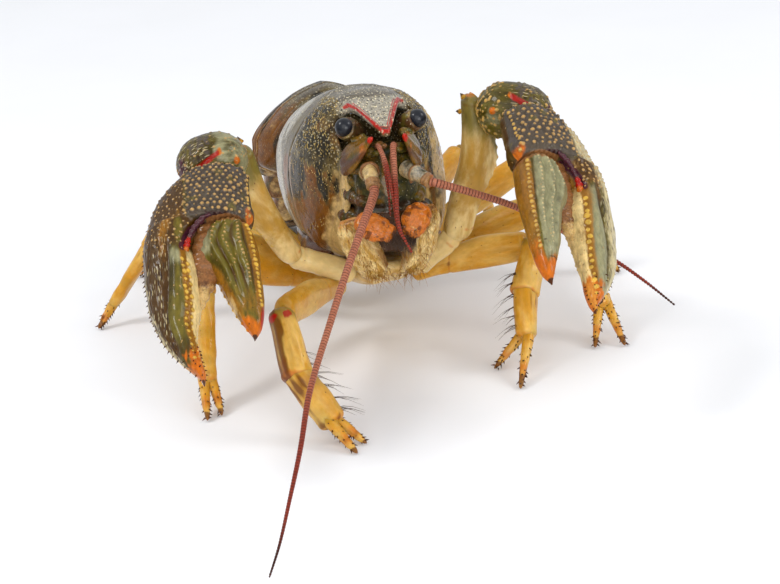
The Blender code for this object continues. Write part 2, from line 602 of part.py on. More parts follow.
def make_legs():
    for name, (hip, knee, ankle, fork, *tips) in LEG.items():
        upper_half, ankle_half, fork_half = LEG_HALF[name[0]]
        outward = Vector((knee[0] - hip[0], knee[1] - hip[1], 0)).normalized()
        run = shortened(hip, knee, 0.0, 1.7)
        length = span(*run)
        upper = limb("leg_" + name + "_upper", length, ((0.0, 1.3), (length * 0.3, 1.5), (length, 1.5)),
                     ((0.0, 1.6), (length * 0.25, 1.9), (length * 0.6, 2.6), (length, 2.1)), 10, 7, LEG_AMBER,
                     ends=(1.0, 1.2), bow=0.5)
        lay(upper, *run, (0, 0, 1))
        run = shortened(knee, ankle, -0.3, -1.0)
        length = span(*run)
        lower = limb("leg_" + name + "_lower", length, ((0.0, upper_half), (length, ankle_half)),
                     ((0.0, upper_half), (length, ankle_half * 0.9)), 10, 5, LEG_AMBER, ends=(1.2, 1.0))
        lay(lower, *run, outward + Vector((0, 0, 0.4)))
        run = shortened(ankle, fork, -0.6, -0.7)
        length = span(*run)
        palm = limb("leg_" + name + "_palm", length, ((0.0, ankle_half * 0.85), (length, fork_half)),
                    ((0.0, ankle_half * 0.75), (length, fork_half * 0.7)), 10, 5, LEG_AMBER, ends=(0.8, 1.0),
                    collection="helpers")
        lay(palm, *run, outward)
        join(lower, palm)
        spread = (Vector(tips[0]) - Vector(tips[-1])).normalized() * (fork_half * 0.5)
        for tip, mark, side in zip(tips, "ab", (1, -1)):
            way = (Vector(tip) - Vector(fork)).normalized()
            start = Vector(fork) - way * 0.9 + spread * side
            length = span(start, tip)
            nail = limb("leg_" + name + "_nail_" + mark, length,
                        ((0.0, 0.9), (length * 0.6, 0.8), (length, 0.3)),
                        ((0.0, 0.9), (length * 0.6, 0.7), (length, 0.3)), 8, 4, LEG_AMBER, ends=(0.6, 0.6),
                        collection="helpers")
            lay(nail, start, tip, outward)
            join(lower, nail)


def clear_scene():
    for old in list(bpy.data.objects):
        bpy.data.objects.remove(old)


def main():
    clear_scene()
    for name in ("crayfish", "helpers"):
        collection = bpy.data.collections.new(name)
        bpy.context.scene.collection.children.link(collection)
    stand = bpy.data.objects.new("stand", None)
    bpy.data.collections["crayfish"].objects.link(stand)
    stand.location = -STAND_MIDDLE * MM
    make_carapace()
    make_head()
    make_chest()
    make_eyes()
    make_scales()
    make_antennae()
    make_feelers()
    make_mouth()
    make_abdomen()
    make_tail_fan()
    make_claw_arms()
    make_legs()


main()
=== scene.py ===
"""The looks of a raw freshwater crayfish, standing on its walking legs with both claws held out in front.

Shapes are worked out in millimetres and become metres where each mesh is made. The animal faces -Y, up is +Z
and its own left is at +X. Every piece is a skin with far more faces than the solid that it covers, on the
same named sizes, with granules, grooves and rings raised on it and with masks that its material reads.
"""

import itertools
import math

import bmesh
import bpy
import numpy as np
from mathutils import Matrix, Vector


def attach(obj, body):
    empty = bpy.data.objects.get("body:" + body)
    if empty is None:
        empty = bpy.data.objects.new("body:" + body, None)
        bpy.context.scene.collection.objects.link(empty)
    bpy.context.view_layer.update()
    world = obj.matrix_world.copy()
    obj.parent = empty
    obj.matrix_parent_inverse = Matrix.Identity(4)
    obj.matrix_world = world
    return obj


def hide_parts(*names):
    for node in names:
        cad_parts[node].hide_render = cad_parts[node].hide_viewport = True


bl_info = {
    "name": "Crayfish looks",
    "version": (1, 0, 0),
    "blender": (4, 5, 0),
    "location": "View3D > Sidebar > Crayfish",
    "description": "Builds the detailed skins, bristles, light and camera of a freshwater crayfish",
    "category": "Object",
}

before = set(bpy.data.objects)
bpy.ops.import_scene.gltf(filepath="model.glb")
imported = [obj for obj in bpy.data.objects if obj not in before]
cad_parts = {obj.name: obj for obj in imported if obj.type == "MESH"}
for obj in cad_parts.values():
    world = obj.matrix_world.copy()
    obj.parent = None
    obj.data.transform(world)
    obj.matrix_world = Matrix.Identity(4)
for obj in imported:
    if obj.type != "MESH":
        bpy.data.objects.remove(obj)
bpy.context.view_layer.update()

MM = 0.001
WELD = 1e-7
SEED = 7
# The animal's sides, each with the sign of x on it
SIDES = (("right", -1), ("left", 1))


def linear(hexes):
    """The linear colour of an sRGB hex value."""
    parts = [int(hexes[i:i + 2], 16) / 255 for i in (0, 2, 4)]
    return tuple(c / 12.92 if c <= 0.04045 else ((c + 0.055) / 1.055) ** 2.4 for c in parts)


# Every colour of the animal, as sRGB, with what wears it; a few also stand for light and shade painted on the
# skins, as noted beside them
COLOURS = {
    "shell_olive": ("463618", "Ground colour of the shell"),
    "shell_grey": ("64583a", "Paler clouds of the shell"),
    "shell_dark": ("16120a", "Blotches and grooves of the shell"),
    "shell_amber": ("6e3e04", "Brown windows on the cheeks"),
    # On the shell this pale grey is mostly painted light: the sheen of the band behind the neck groove,
    # partly painted glare on the top of the rostrum and light on the left flank where the right lamp falls.
    # It is also the grey of the abdomen's top and of the antennae's feet.
    "shell_pale_and_sheen": ("a59e8e", "Milky band behind the neck groove"),
    # Cream of the shell's rims and of soft parts; on the shell's left flank in front of the neck groove it is
    # painted light, where the right lamp falls
    "rim_cream_and_lit_flank": ("c4a468", "Rims of the shell"),
    "granule_gold": ("b89c5c", "Granules"),
    # Pale dashes in the pits; on the top of the shell they are partly painted glints, and on the band behind
    # the neck groove part of its painted sheen
    "fleck_pale_and_glint": ("ded0ac", "Short pale dashes in the pits"),
    "rostrum_red": ("a81408", "Raised rims of the rostrum"),
    "claw_green": ("3c3206", "Ground colour of the claws"),
    "claw_sage": ("625618", "Paler green of the fingers"),
    "claw_teal": ("8a8664", "Cool green of the ridges and fingers"),
    "claw_amber": ("8a5a10", "Amber flanks of the fingers"),
    "claw_brown": ("422606", "Brown back of the claws"),
    "claw_slate": ("483e38", "Grey ground between the big granules"),
    "claw_violet": ("421828", "Violet folds at the joints of the claws"),
    "claw_pale": ("c4b488", "Pale margins of the claws"),
    "claw_granule": ("aa8650", "Granules of the claws"),
    "tip_orange": ("b65c08", "Tips of the fingers"),
    "joint_red": ("a00c08", "Red joints"),
    "bead_yellow": ("c0983a", "Beads along the cutting edges"),
    "limb_cream": ("dcc184", "Arms and undersides"),
    "limb_straw": ("ae8436", "Darker clouds of the arms"),
    "leg_amber": ("c48a20", "Walking legs"),
    "leg_straw": ("d4aa56", "Paler clouds of the legs"),
    "leg_brown": ("5e2c08", "Feet and nails"),
    "face_green": ("46401a", "Plates under the eyes"),
    "face_teal": ("202418", "Hollows of the face"),
    "scale_gold": ("724e0e", "Plates beside the antennae"),
    "mouth_orange": ("b65e0c", "Palps of the mouth legs"),
    "whip_pink": ("a0624a", "Rings of the antennae"),
    "whip_red": ("74180c", "Rings of the small feelers"),
    "whip_dark": ("4a1a10", "Joints between the rings"),
    "membrane": ("4e2c18", "Soft skin between the plates"),
    "membrane_pink": ("82542c", "Soft skin at the finger's hinge"),
    "bristle_brown": ("3a2412", "Bristles"),
    "bristle_gold": ("94661e", "Bristles of the mouth legs"),
    "eye_black": ("07080c", "Cornea"),
    # Dark of spines, tips and marks; round the big granules of the claws it is painted shade
    "spine_dark": ("24100c", "Small dark spines"),
    "floor_white": ("f4f4f6", "Floor"),
}


# Sizes of the fine detail, in millimetres, with what they hold
SIZES = {
    "antenna_ring": (0.52, "Length of one ring of an antenna"),
    "feeler_ring": (0.46, "Length of one ring of a small feeler"),
    "granule_height": (0.4, "Height of the big granules of the claws"),
    "granule_spacing": (0.94, "Distance between the big granules of the claws"),
    "bristle_thickness": (0.12, "Thickness of a bristle at its root"),
    "hair_thickness": (0.14, "Thickness of a hair of the walking legs at its root"),
    "eye_radius": (1.46, "Radius of an eye"),
}

# --- Shapes -------------------------------------------------------------------------------------------------


def curve_through(knots, at):
    """Values at places, on a smooth curve through (place, value) knots in rising order."""
    x, y = np.array([k[0] for k in knots], float), np.array([k[1] for k in knots], float)
    low = np.maximum(np.arange(len(x)) - 1, 0)
    high = np.minimum(np.arange(len(x)) + 1, len(x) - 1)
    slope = (y[high] - y[low]) / (x[high] - x[low])
    at = np.clip(at, x[0], x[-1])
    i = np.clip(np.searchsorted(x, at, side="right") - 1, 0, len(x) - 2)
    rise = x[i + 1] - x[i]
    t = (at - x[i]) / rise
    return (
        (2 * t**3 - 3 * t**2 + 1) * y[i] + (t**3 - 2 * t**2 + t) * rise * slope[i]
        + (3 * t**2 - 2 * t**3) * y[i + 1] + (t**3 - t**2) * rise * slope[i + 1]
    )


def rounded(along, length, near, far):
    """How much of its full width a piece has at a place, with ends rounded over near and far millimetres."""
    share = np.ones_like(along)
    if near > 0:
        share = share * np.sqrt(np.clip(1 - np.clip(1 - along / near, 0, 1) ** 2, 0, 1))
    if far > 0:
        share = share * np.sqrt(np.clip(1 - np.clip(1 - (length - along) / far, 0, 1) ** 2, 0, 1))
    return share


def swell(value, power):
    """A cosine or sine made squarer (power under 1) or more pointed."""
    return np.sign(value) * np.abs(value) ** power


def step(low, high, value):
    """0 below low, 1 above high and smooth between."""
    t = np.clip((value - low) / (high - low), 0, 1)
    return t * t * (3 - 2 * t)


def hump(value, middle, width):
    """1 at the middle, falling off smoothly over the width."""
    return np.exp(-(((value - middle) / width) ** 2))


def noise(places, lump, seed=0):
    """Smooth unevenness from -1 to 1 over places in millimetres, in lumps of about that width."""
    grid = places / lump + seed * 17.31
    cell = np.floor(grid).astype(np.int64)
    part = grid - cell
    part = part * part * (3 - 2 * part)
    total = np.zeros(len(places))
    for corner in itertools.product((0, 1), repeat=3):
        key = ((cell + corner) * (73856093, 19349663, 83492791)).sum(axis=1) % 104729
        value = np.modf(np.abs(np.sin(key * 12.9898) * 43758.5453))[0] * 2 - 1
        weight = np.prod(np.where(np.array(corner), part, 1 - part), axis=1)
        total += value * weight
    return total


def bumps(places, centres, radius, height):
    """How far small domes at these centres lift each place, and how much of a dome it is on."""
    lift, on = np.zeros(len(places)), np.zeros(len(places))
    for *centre, scale in centres:
        near = np.abs(places[:, 0] - centre[0]) < radius * scale * 2
        far = ((places[near] - centre) ** 2).sum(axis=1) / (radius * scale) ** 2
        dome = np.exp(-(far**1.5) * 1.2)
        lift[near] = np.maximum(lift[near], dome * height * scale)
        on[near] = np.maximum(on[near], dome)
    return lift, on


def read(mesh, what="co"):
    """The place of each of a mesh's points, or another vector that it has."""
    values = np.empty(len(mesh.vertices) * 3)
    mesh.vertices.foreach_get(what, values)
    return values.reshape(-1, 3)


def put(mesh, name, values):
    """Stores a value for each point, which the material reads by its name."""
    kind = "FLOAT" if values.ndim == 1 else "FLOAT_VECTOR"
    layer = mesh.attributes.get(name) or mesh.attributes.new(name, kind, "POINT")
    field = "value" if kind == "FLOAT" else "vector"
    layer.data.foreach_set(field, values.astype(np.float32).ravel())


def skin(name, point, around, along, relief=None, placing=Matrix()):
    """A closed skin: point(turn, way) gives places for both from 0 to 1, relief then raises them.

    Relief also gives masks, each one number or one for each point. They and the place on the piece, in
    millimetres, are stored for the material."""
    shape = bmesh.new()
    bmesh.ops.create_grid(shape, x_segments=around, y_segments=along, size=0.5)
    mesh = bpy.data.meshes.new(name)
    shape.to_mesh(mesh)
    flat = read(mesh)
    turn, way = flat[:, 0] + 0.5, flat[:, 1] + 0.5
    places = np.stack(np.broadcast_arrays(*point(turn, way)), axis=1)
    mesh.vertices.foreach_set("co", (places * MM).ravel())
    put(mesh, "turn", turn)
    put(mesh, "way", way)
    shape.clear()
    shape.from_mesh(mesh)
    bmesh.ops.remove_doubles(shape, verts=shape.verts, dist=WELD)
    rims = [edge for edge in shape.edges if edge.is_boundary]
    bmesh.ops.holes_fill(shape, edges=rims, sides=0)
    bmesh.ops.recalc_face_normals(shape, faces=shape.faces)
    shape.to_mesh(mesh)
    shape.free()
    places = read(mesh) / MM
    put(mesh, "place", places)
    if relief:
        found = [np.empty(len(places)) for _ in range(2)]
        for layer, values in zip(("turn", "way"), found):
            mesh.attributes[layer].data.foreach_get("value", values)
        lift, masks = relief(places, *found)
        mesh.vertices.foreach_set("co", ((places + read(mesh, "normal") * lift[:, None]) * MM).ravel())
        for mask, values in masks.items():
            put(mesh, mask, np.clip(np.broadcast_to(values, len(places)), 0, 1))
    for layer in ("turn", "way"):
        mesh.attributes.remove(mesh.attributes[layer])
    mesh.transform(placing)
    mesh.shade_smooth()
    return mesh


def wear(meshes, finish, nodes=()):
    """Makes one piece of the meshes, named as the first, in its material, for the nodes that it covers."""
    name = meshes[0].name
    made = [bpy.data.objects.new(name, mesh) for mesh in meshes]
    for piece in made:
        bpy.context.scene.collection.objects.link(piece)
        piece.data.materials.clear()
        piece.data.materials.append(finish)
    if len(made) > 1:
        with bpy.context.temp_override(active_object=made[0], selected_editable_objects=made):
            bpy.ops.object.join()
    piece = made[0]
    piece.name = name
    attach(piece, "root")
    if nodes:
        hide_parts(*nodes)
    return piece


def limb(name, length, half_width, half_height, around, along, ends=(2, 2), bow=0.0, square=0.85, shift=None,
        relief=None, placing=Matrix()):
    """A limb piece along +Y: width and height are knots over its length, bow lifts its middle towards +Z."""

    def point(turn, way):
        y = length * (1 - np.cos(math.pi * way)) / 2
        share = rounded(y, length, *ends)
        angle = 2 * math.pi * turn
        x = swell(np.cos(angle), square) * curve_through(half_width, y) * share
        z = swell(np.sin(angle), square) * curve_through(half_height, y) * share
        aside = curve_through(shift, y) if shift else 0.0
        return x + aside, y, z + bow * np.sin(math.pi * y / length)

    return skin(name, point, around, along, relief, placing)


def lay(start, end, back):
    """Lays a piece modelled along +Y so that it runs from start to end, its +Z side towards back."""
    y = (Vector(end) - Vector(start)).normalized()
    x = y.cross(Vector(back)).normalized()
    return Matrix.Translation(Vector(start) * MM) @ Matrix((x, y, x.cross(y))).transposed().to_4x4()


def span(start, end):
    """The distance between two places."""
    return (Vector(end) - Vector(start)).length


def shortened(start, end, near, far):
    """The same run with a bit left off each end."""
    way = (Vector(end) - Vector(start)).normalized()
    return Vector(start) + way * near, Vector(end) - way * far


# The spot on the floor that goes to the frame's origin, then where the body stands and how it is turned
STAND_MIDDLE = Vector((2.28, 13.85, 0))
STAND = Matrix.Translation(-STAND_MIDDLE * MM)
BODY_ORIGIN = Vector((0.35, 13, 28.5))
BODY_PITCH = math.radians(-8)
BODY_YAW = math.radians(-4)
BODY = (STAND @ Matrix.Translation(BODY_ORIGIN * MM) @ Matrix.Rotation(BODY_YAW, 4, "Z")
    @ Matrix.Rotation(BODY_PITCH, 4, "X"))


def route(knots, at):
    """Places on a smooth curve through a few places, for shares of its length."""
    marks = np.concatenate([[0.0], np.cumsum([span(a, b) for a, b in zip(knots, knots[1:])])])
    return np.stack(
        [curve_through(list(zip(marks, [k[axis] for k in knots])), marks[-1] * at) for axis in range(3)],
        axis=1
    )


def whip(name, knots, radii, around, along, up, relief, placing):
    """A round tapering skin along a curve; up is a direction that the curve never runs in."""

    def point(turn, way):
        shares = np.linspace(0, 1, along + 1)
        line = route(knots, shares)
        run = np.gradient(line, axis=0)
        run /= np.linalg.norm(run, axis=1)[:, None]
        side = np.cross(run, up)
        side /= np.linalg.norm(side, axis=1)[:, None]
        over = np.cross(side, run)
        i = np.rint(way * along).astype(int)
        half = curve_through(radii, way)[:, None] * rounded(way, 1, 0.004, 0.004)[:, None]
        angle = 2 * math.pi * turn[:, None]
        return (line[i] + half * (np.cos(angle) * side[i] + np.sin(angle) * over[i])).T

    return skin(name, point, around, along, relief, placing)


def threads(name, paths, thick, placing, taper=0.15):
    """Thin tapering hairs, each through its own few places."""
    curve = bpy.data.curves.new(name, "CURVE")
    curve.dimensions = "3D"
    curve.bevel_depth = thick * MM / 2
    curve.bevel_resolution = 0
    curve.use_fill_caps = True
    for path in paths:
        line = curve.splines.new("POLY")
        line.points.add(len(path) - 1)
        for i, place in enumerate(path):
            line.points[i].co = (*(Vector(place) * MM), 1)
            line.points[i].radius = 1 - (1 - taper) * i / (len(path) - 1)
    holder = bpy.data.objects.new(name, curve)
    mesh = bpy.data.meshes.new_from_object(holder)
    bpy.data.objects.remove(holder)
    bpy.data.curves.remove(curve)
    mesh.transform(placing)
    put(mesh, "place", read(mesh) / MM)
    mesh.shade_smooth()
    return mesh


def placed(mesh, placing):
    """Stores where each point is on the piece, in millimetres, and then moves the mesh to its place."""
    put(mesh, "place", read(mesh) / MM)
    mesh.transform(placing)
    mesh.shade_smooth()
    return mesh


def finished(shape, name):
    """A mesh made of a bmesh, which is freed."""
    mesh = bpy.data.meshes.new(name)
    shape.to_mesh(mesh)
    shape.free()
    return mesh


def spikes(name, spots, placing, sides=7):
    """Small cones: each spot is a foot, a direction, a length and a foot radius. Their tips are masked."""
    shape = bmesh.new()
    tips = shape.verts.layers.float.new("tip")
    for foot, way, length, radius in spots:
        turned = Vector(way).normalized().to_track_quat("Z", "Y").to_matrix().to_4x4()
        there = Matrix.Translation((Vector(foot) + Vector(way).normalized() * length * 0.45) * MM) @ turned
        cone = bmesh.ops.create_cone(
            shape, cap_ends=True, segments=sides, radius1=radius * MM, radius2=radius * 0.08 * MM,
            depth=length * MM, matrix=there,
        )
        middle = there.translation
        for vert in cone["verts"]:
            vert[tips] = 1.0 if (vert.co - middle).dot(Vector(way)) > 0 else 0.0
    return placed(finished(shape, name), placing)


def curl(root, way, length, bend, random):
    """The places of one hair that starts along way and bends over."""
    way = Vector(way).normalized()
    lean = Vector(bend) * length
    shares = (0, 0.3, 0.6, 1)
    jog = Vector(random.uniform(-0.06, 0.06, 3)) * length
    return [Vector(root) + way * (length * t) + (lean + jog) * (t * t) for t in shares]


# --- Materials ----------------------------------------------------------------------------------------------


def feed(tree, node, inputs):
    """Sets a node's inputs, by name or number, to values or links."""
    for key, value in inputs.items():
        if isinstance(value, bpy.types.NodeSocket):
            tree.links.new(value, node.inputs[key])
        else:
            node.inputs[key].default_value = value


def add(tree, kind, inputs=None, out=0, **settings):
    """Adds a node, with its settings and its inputs as values or links, and gives one output of it."""
    made = tree.nodes.new(kind)
    for name, value in settings.items():
        setattr(made, name, value)
    feed(tree, made, inputs or {})
    return made.outputs[out]


def blank(name):
    """A new material, with its tree and the shader that it starts with."""
    made = bpy.data.materials.new(name)
    made.use_nodes = True
    return made, made.node_tree, made.node_tree.nodes["Principled BSDF"]


# Sockets of a Mix node that mixes colours
FACTOR, UNDER, OVER, MIXED = 0, 6, 7, 2


def size(name):
    """A size of the animal as the panel has it, in millimetres."""
    return getattr(bpy.context.scene.crayfish_sizes, name) / MM


def tone(name):
    """A colour of the animal as the panel has it."""
    return (*getattr(bpy.context.scene.crayfish_colours, name), 1)


def chitin(name, ground, clouds, layers=(), cloud_size=3.0, stretch=(1, 1, 1), flecks=(), pit_size=0.5,
        rough=0.36, wet=0.3, depth=0.1, glow=(1, 0.55, 0.25), uneven=0.5, grain=(0.62, 1.3)):
    """Hard cuticle: a ground colour with clouds, then masked colours, flecks, pits and a wet coat.

    Sizes are in millimetres. A layer is a mask, a colour and its strength. Flecks are a colour, a spacing, a
    share of it that the fleck fills, the mask that holds them and a scale that stretches them."""
    found = bpy.data.materials.get(name)
    if found:
        return found
    made, tree, shader = blank(name)
    place = add(tree, "ShaderNodeAttribute", out="Vector", attribute_name="place")
    run = add(tree, "ShaderNodeMapping", {"Vector": place, "Scale": stretch})
    broad = add(tree, "ShaderNodeTexNoise", {"Vector": run, "Scale": 1 / cloud_size, "Detail": 6,
        "Roughness": 0.62, "Distortion": 0.4})
    fine = add(tree, "ShaderNodeTexNoise", {"Vector": run, "Scale": 5 / cloud_size, "Detail": 5,
        "Roughness": 0.65})
    share = add(tree, "ShaderNodeMapRange", {"Value": broad, "From Min": 0.38, "From Max": 0.62},
        interpolation_type="SMOOTHSTEP")
    colour = add(tree, "ShaderNodeMix", {FACTOR: share, UNDER: tone(ground), OVER: tone(clouds)},
        out=MIXED, data_type="RGBA")
    for mask, over, strength in layers:
        held = add(tree, "ShaderNodeAttribute", out="Fac", attribute_name=mask)
        ragged = add(tree, "ShaderNodeMath", {0: fine, 1: uneven, 2: held}, operation="MULTIPLY_ADD")
        cover = add(tree, "ShaderNodeMapRange", {"Value": ragged, "From Min": 0.3 + uneven / 2,
            "From Max": 0.75 + uneven / 2, "To Max": strength}, interpolation_type="SMOOTHSTEP")
        colour = add(tree, "ShaderNodeMix", {FACTOR: cover, UNDER: colour, OVER: tone(over)},
            out=MIXED, data_type="RGBA")
    height = fine
    for over, spacing, fill, mask, shape in flecks:
        laid = add(tree, "ShaderNodeMapping", {"Vector": place, "Scale": shape})
        cells = add(tree, "ShaderNodeTexVoronoi", {"Vector": laid, "Scale": 1 / spacing, "Randomness": 1.0})
        dot = add(tree, "ShaderNodeMapRange", {"Value": cells, "From Min": fill, "From Max": fill * 0.55},
            interpolation_type="SMOOTHSTEP")
        held = add(tree, "ShaderNodeAttribute", out="Fac", attribute_name=mask)
        cover = add(tree, "ShaderNodeMath", {0: dot, 1: held}, operation="MULTIPLY")
        colour = add(tree, "ShaderNodeMix", {FACTOR: cover, UNDER: colour, OVER: tone(over)},
            out=MIXED, data_type="RGBA")
        height = add(tree, "ShaderNodeMath", {0: cover, 1: 0.8, 2: height}, operation="MULTIPLY_ADD")
    shade = add(tree, "ShaderNodeMapRange", {"Value": fine, "From Min": 0.3, "From Max": 0.7,
        "To Min": grain[0], "To Max": grain[1]})
    colour = add(tree, "ShaderNodeMix", {FACTOR: 1, UNDER: colour, OVER: shade}, data_type="RGBA",
        out=MIXED, blend_type="MULTIPLY")
    pits = add(tree, "ShaderNodeTexVoronoi", {"Vector": place, "Scale": 1 / pit_size, "Randomness": 0.9})
    dents = add(tree, "ShaderNodeMapRange", {"Value": pits, "From Min": 0.05, "From Max": 0.4})
    height = add(tree, "ShaderNodeMath", {0: dents, 1: 0.35, 2: height}, operation="MULTIPLY_ADD")
    bump = add(tree, "ShaderNodeBump", {"Height": height, "Strength": 0.6, "Distance": 0.14 * MM})
    gloss = add(tree, "ShaderNodeMapRange", {"Value": broad, "From Min": 0.3, "From Max": 0.7,
        "To Min": rough - 0.07, "To Max": rough + 0.1})
    feed(tree, shader, {
        "Base Color": colour, "Roughness": gloss, "Normal": bump, "IOR": 1.45,
        "Specular IOR Level": 0.18, "Specular Tint": (1, 0.88, 0.62, 1), "Coat Weight": wet,
        "Coat Roughness": 0.1, "Subsurface Weight": depth, "Subsurface Radius": glow,
        "Subsurface Scale": 1.2 * MM})
    return made


def shell_finish():
    # Calcified cuticle of the back, grown and moulted: pitted, with pale dashes in the pits, partly painted
    # glints, and a wet gloss. Pale grey and cream also paint light on it: the sheen of a band behind the neck
    # groove and the left flank where the right lamp falls
    return chitin("calcified_cuticle_olive_pitted", "shell_olive", "shell_grey",
        (("amber", "shell_amber", 0.9), ("dark", "shell_dark", 0.9), ("pale", "shell_pale_and_sheen", 0.9),
            ("cream", "rim_cream_and_lit_flank", 0.9), ("groove", "shell_dark", 0.8), ("red", "rostrum_red", 0.97),
            ("gold", "granule_gold", 0.9)),
        cloud_size=3.5, stretch=(1, 0.8, 0.7),
        flecks=(("shell_dark", 0.5, 0.32, "flecks", (1, 0.7, 0.7)),
            ("fleck_pale_and_glint", 0.42, 0.36, "flecks", (1, 0.42, 1)),
            ("shell_dark", 0.55, 0.27, "dots", (1, 0.7, 0.6)),
            ("granule_gold", 0.4, 0.24, "dots", (1, 0.8, 0.7))),
        pit_size=0.4, rough=0.3, wet=0.3)


def claw_finish():
    # Thick cuticle of the claws: satin olive with raised golden granules, painted shade round the big ones,
    # and orange tips
    return chitin("calcified_cuticle_green_granular", "claw_green", "claw_sage",
        (("brown", "claw_brown", 0.92), ("slate", "claw_slate", 0.9), ("sage", "claw_sage", 0.85),
            ("teal", "claw_teal", 0.9), ("amber", "claw_amber", 0.85),
            ("pale", "claw_pale", 0.85), ("violet", "claw_violet", 0.95), ("cream", "limb_cream", 0.9),
            # The ring layer puts painted shade round each big granule of the palm
            ("pink", "membrane_pink", 0.85), ("tip", "tip_orange", 0.95), ("ring", "spine_dark", 0.8),
            ("gold", "claw_granule", 0.95), ("bead", "bead_yellow", 0.95), ("red", "joint_red", 0.95),
            ("dark", "spine_dark", 0.9)),
        cloud_size=4.0, stretch=(1.5, 0.45, 1),
        flecks=(("spine_dark", 0.3, 0.3, "lines", (1, 0.13, 0.3)),
            ("claw_pale", 0.24, 0.33, "hatch", (1, 0.13, 0.3)),
            ("claw_granule", 0.8, 0.17, "dots", (1, 0.7, 1))),
        pit_size=0.5, rough=0.36, wet=0.25)


def arm_finish():
    # Thin smooth cuticle of the arms, cream, clouded with straw and a little see-through
    return chitin("thin_cuticle_cream_smooth", "limb_cream", "limb_straw",
        (("cream", "limb_cream", 0.7), ("green", "claw_sage", 0.9), ("orange", "tip_orange", 0.85),
            ("brown", "leg_brown", 0.75), ("gold", "bead_yellow", 0.9)),
        cloud_size=6.0, stretch=(1.2, 0.6, 1), flecks=(("leg_brown", 1.6, 0.07, "dots", (1.2, 0.6, 1)),),
        pit_size=0.8, rough=0.38, wet=0.3, depth=0.3, grain=(0.88, 1.1))


def leg_finish():
    # Thin cuticle of the walking legs, amber, letting light through, brown towards the feet
    return chitin("thin_cuticle_amber_clear", "leg_amber", "leg_straw",
        (("cream", "leg_straw", 0.9), ("green", "claw_sage", 0.7), ("orange", "tip_orange", 0.8),
            ("brown", "leg_brown", 0.85), ("red", "joint_red", 0.9)),
        cloud_size=5.0, stretch=(1.3, 0.5, 1), flecks=(("leg_brown", 1.2, 0.09, "dots", (1.2, 0.6, 1)),),
        pit_size=0.7, rough=0.36, wet=0.3, depth=0.4, glow=(1, 0.55, 0.15), grain=(0.84, 1.12))


def face_finish():
    # Cuticle and soft skin of the face, dark olive, folded and wet
    return chitin("folded_cuticle_dark_olive", "face_green", "face_teal",
        (("sage", "claw_sage", 0.8), ("amber", "scale_gold", 0.9), ("grey", "shell_pale_and_sheen", 0.85),
            ("cream", "rim_cream_and_lit_flank", 0.85), ("orange", "tip_orange", 0.8), ("red", "rostrum_red", 0.95),
            ("pink", "membrane_pink", 0.8), ("brown", "membrane", 0.85), ("dark", "spine_dark", 0.8)),
        cloud_size=1.8, flecks=(("fleck_pale_and_glint", 0.5, 0.18, "flecks", (1, 1, 1)),),
        pit_size=0.45, rough=0.3, wet=0.4)


def mouth_finish():
    # Thin cuticle of the mouth legs: straw with orange palps, creased
    return chitin("thin_cuticle_orange_creased", "limb_straw", "limb_cream",
        (("orange", "mouth_orange", 0.95), ("brown", "leg_brown", 0.85), ("cream", "rim_cream_and_lit_flank", 0.75)),
        cloud_size=1.5, stretch=(1.4, 0.6, 1), flecks=(("leg_brown", 0.7, 0.16, "dots", (1, 0.8, 1)),),
        pit_size=0.45, rough=0.36, wet=0.35, depth=0.25)


def whip_finish():
    # Ringed cuticle of the feelers: pinkish brown rings with dark joints between
    return chitin("ringed_cuticle_pink_brown", "whip_pink", "whip_pink",
        (("red", "whip_red", 0.9), ("joint", "whip_dark", 0.9), ("dark", "spine_dark", 0.9)),
        cloud_size=2.0, pit_size=0.3, rough=0.4, wet=0.15, uneven=0.15)


def skin_finish():
    # Soft wrinkled joint skin, brown and pink, wet
    return chitin("soft_joint_skin", "membrane", "membrane_pink",
        (("violet", "claw_violet", 0.95), ("pink", "membrane_pink", 0.9), ("cream", "rim_cream_and_lit_flank", 0.85),
            ("brown", "membrane", 0.9), ("red", "joint_red", 0.95), ("tip", "tip_orange", 0.95),
            ("dark", "spine_dark", 0.85)),
        cloud_size=1.6, pit_size=0.35, rough=0.35, wet=0.4, depth=0.2)


def spine_finish():
    # Horny spines: the colour of the claw's tips, dark at the point
    return chitin("horny_spine_orange", "tip_orange", "bead_yellow", (("tip", "spine_dark", 0.95),),
        cloud_size=1.0, uneven=0.1, rough=0.3)


def foot_spine_finish():
    # Horny spines of the feet and finger edges, brown all over
    return chitin("horny_spine_brown", "leg_brown", "spine_dark", (("tip", "spine_dark", 0.95),),
        cloud_size=1.0, uneven=0.1, rough=0.3)


def bristle_finish(name, colour):
    # Chitin bristles: thin, brown or golden, with a slight sheen
    found = bpy.data.materials.get(name)
    if found:
        return found
    made, tree, shader = blank(name)
    place = add(tree, "ShaderNodeAttribute", out="Vector", attribute_name="place")
    along = add(tree, "ShaderNodeTexNoise", {"Vector": place, "Scale": 0.8, "Detail": 3.0})
    shade = add(tree, "ShaderNodeMapRange", {"Value": along, "From Min": 0.3, "From Max": 0.7,
        "To Min": 0.6, "To Max": 1.5})
    base = add(tree, "ShaderNodeMix", {FACTOR: 1, UNDER: tone(colour), OVER: shade}, data_type="RGBA",
        out=MIXED, blend_type="MULTIPLY")
    feed(tree, shader, {"Base Color": base, "Roughness": 0.45})
    return made


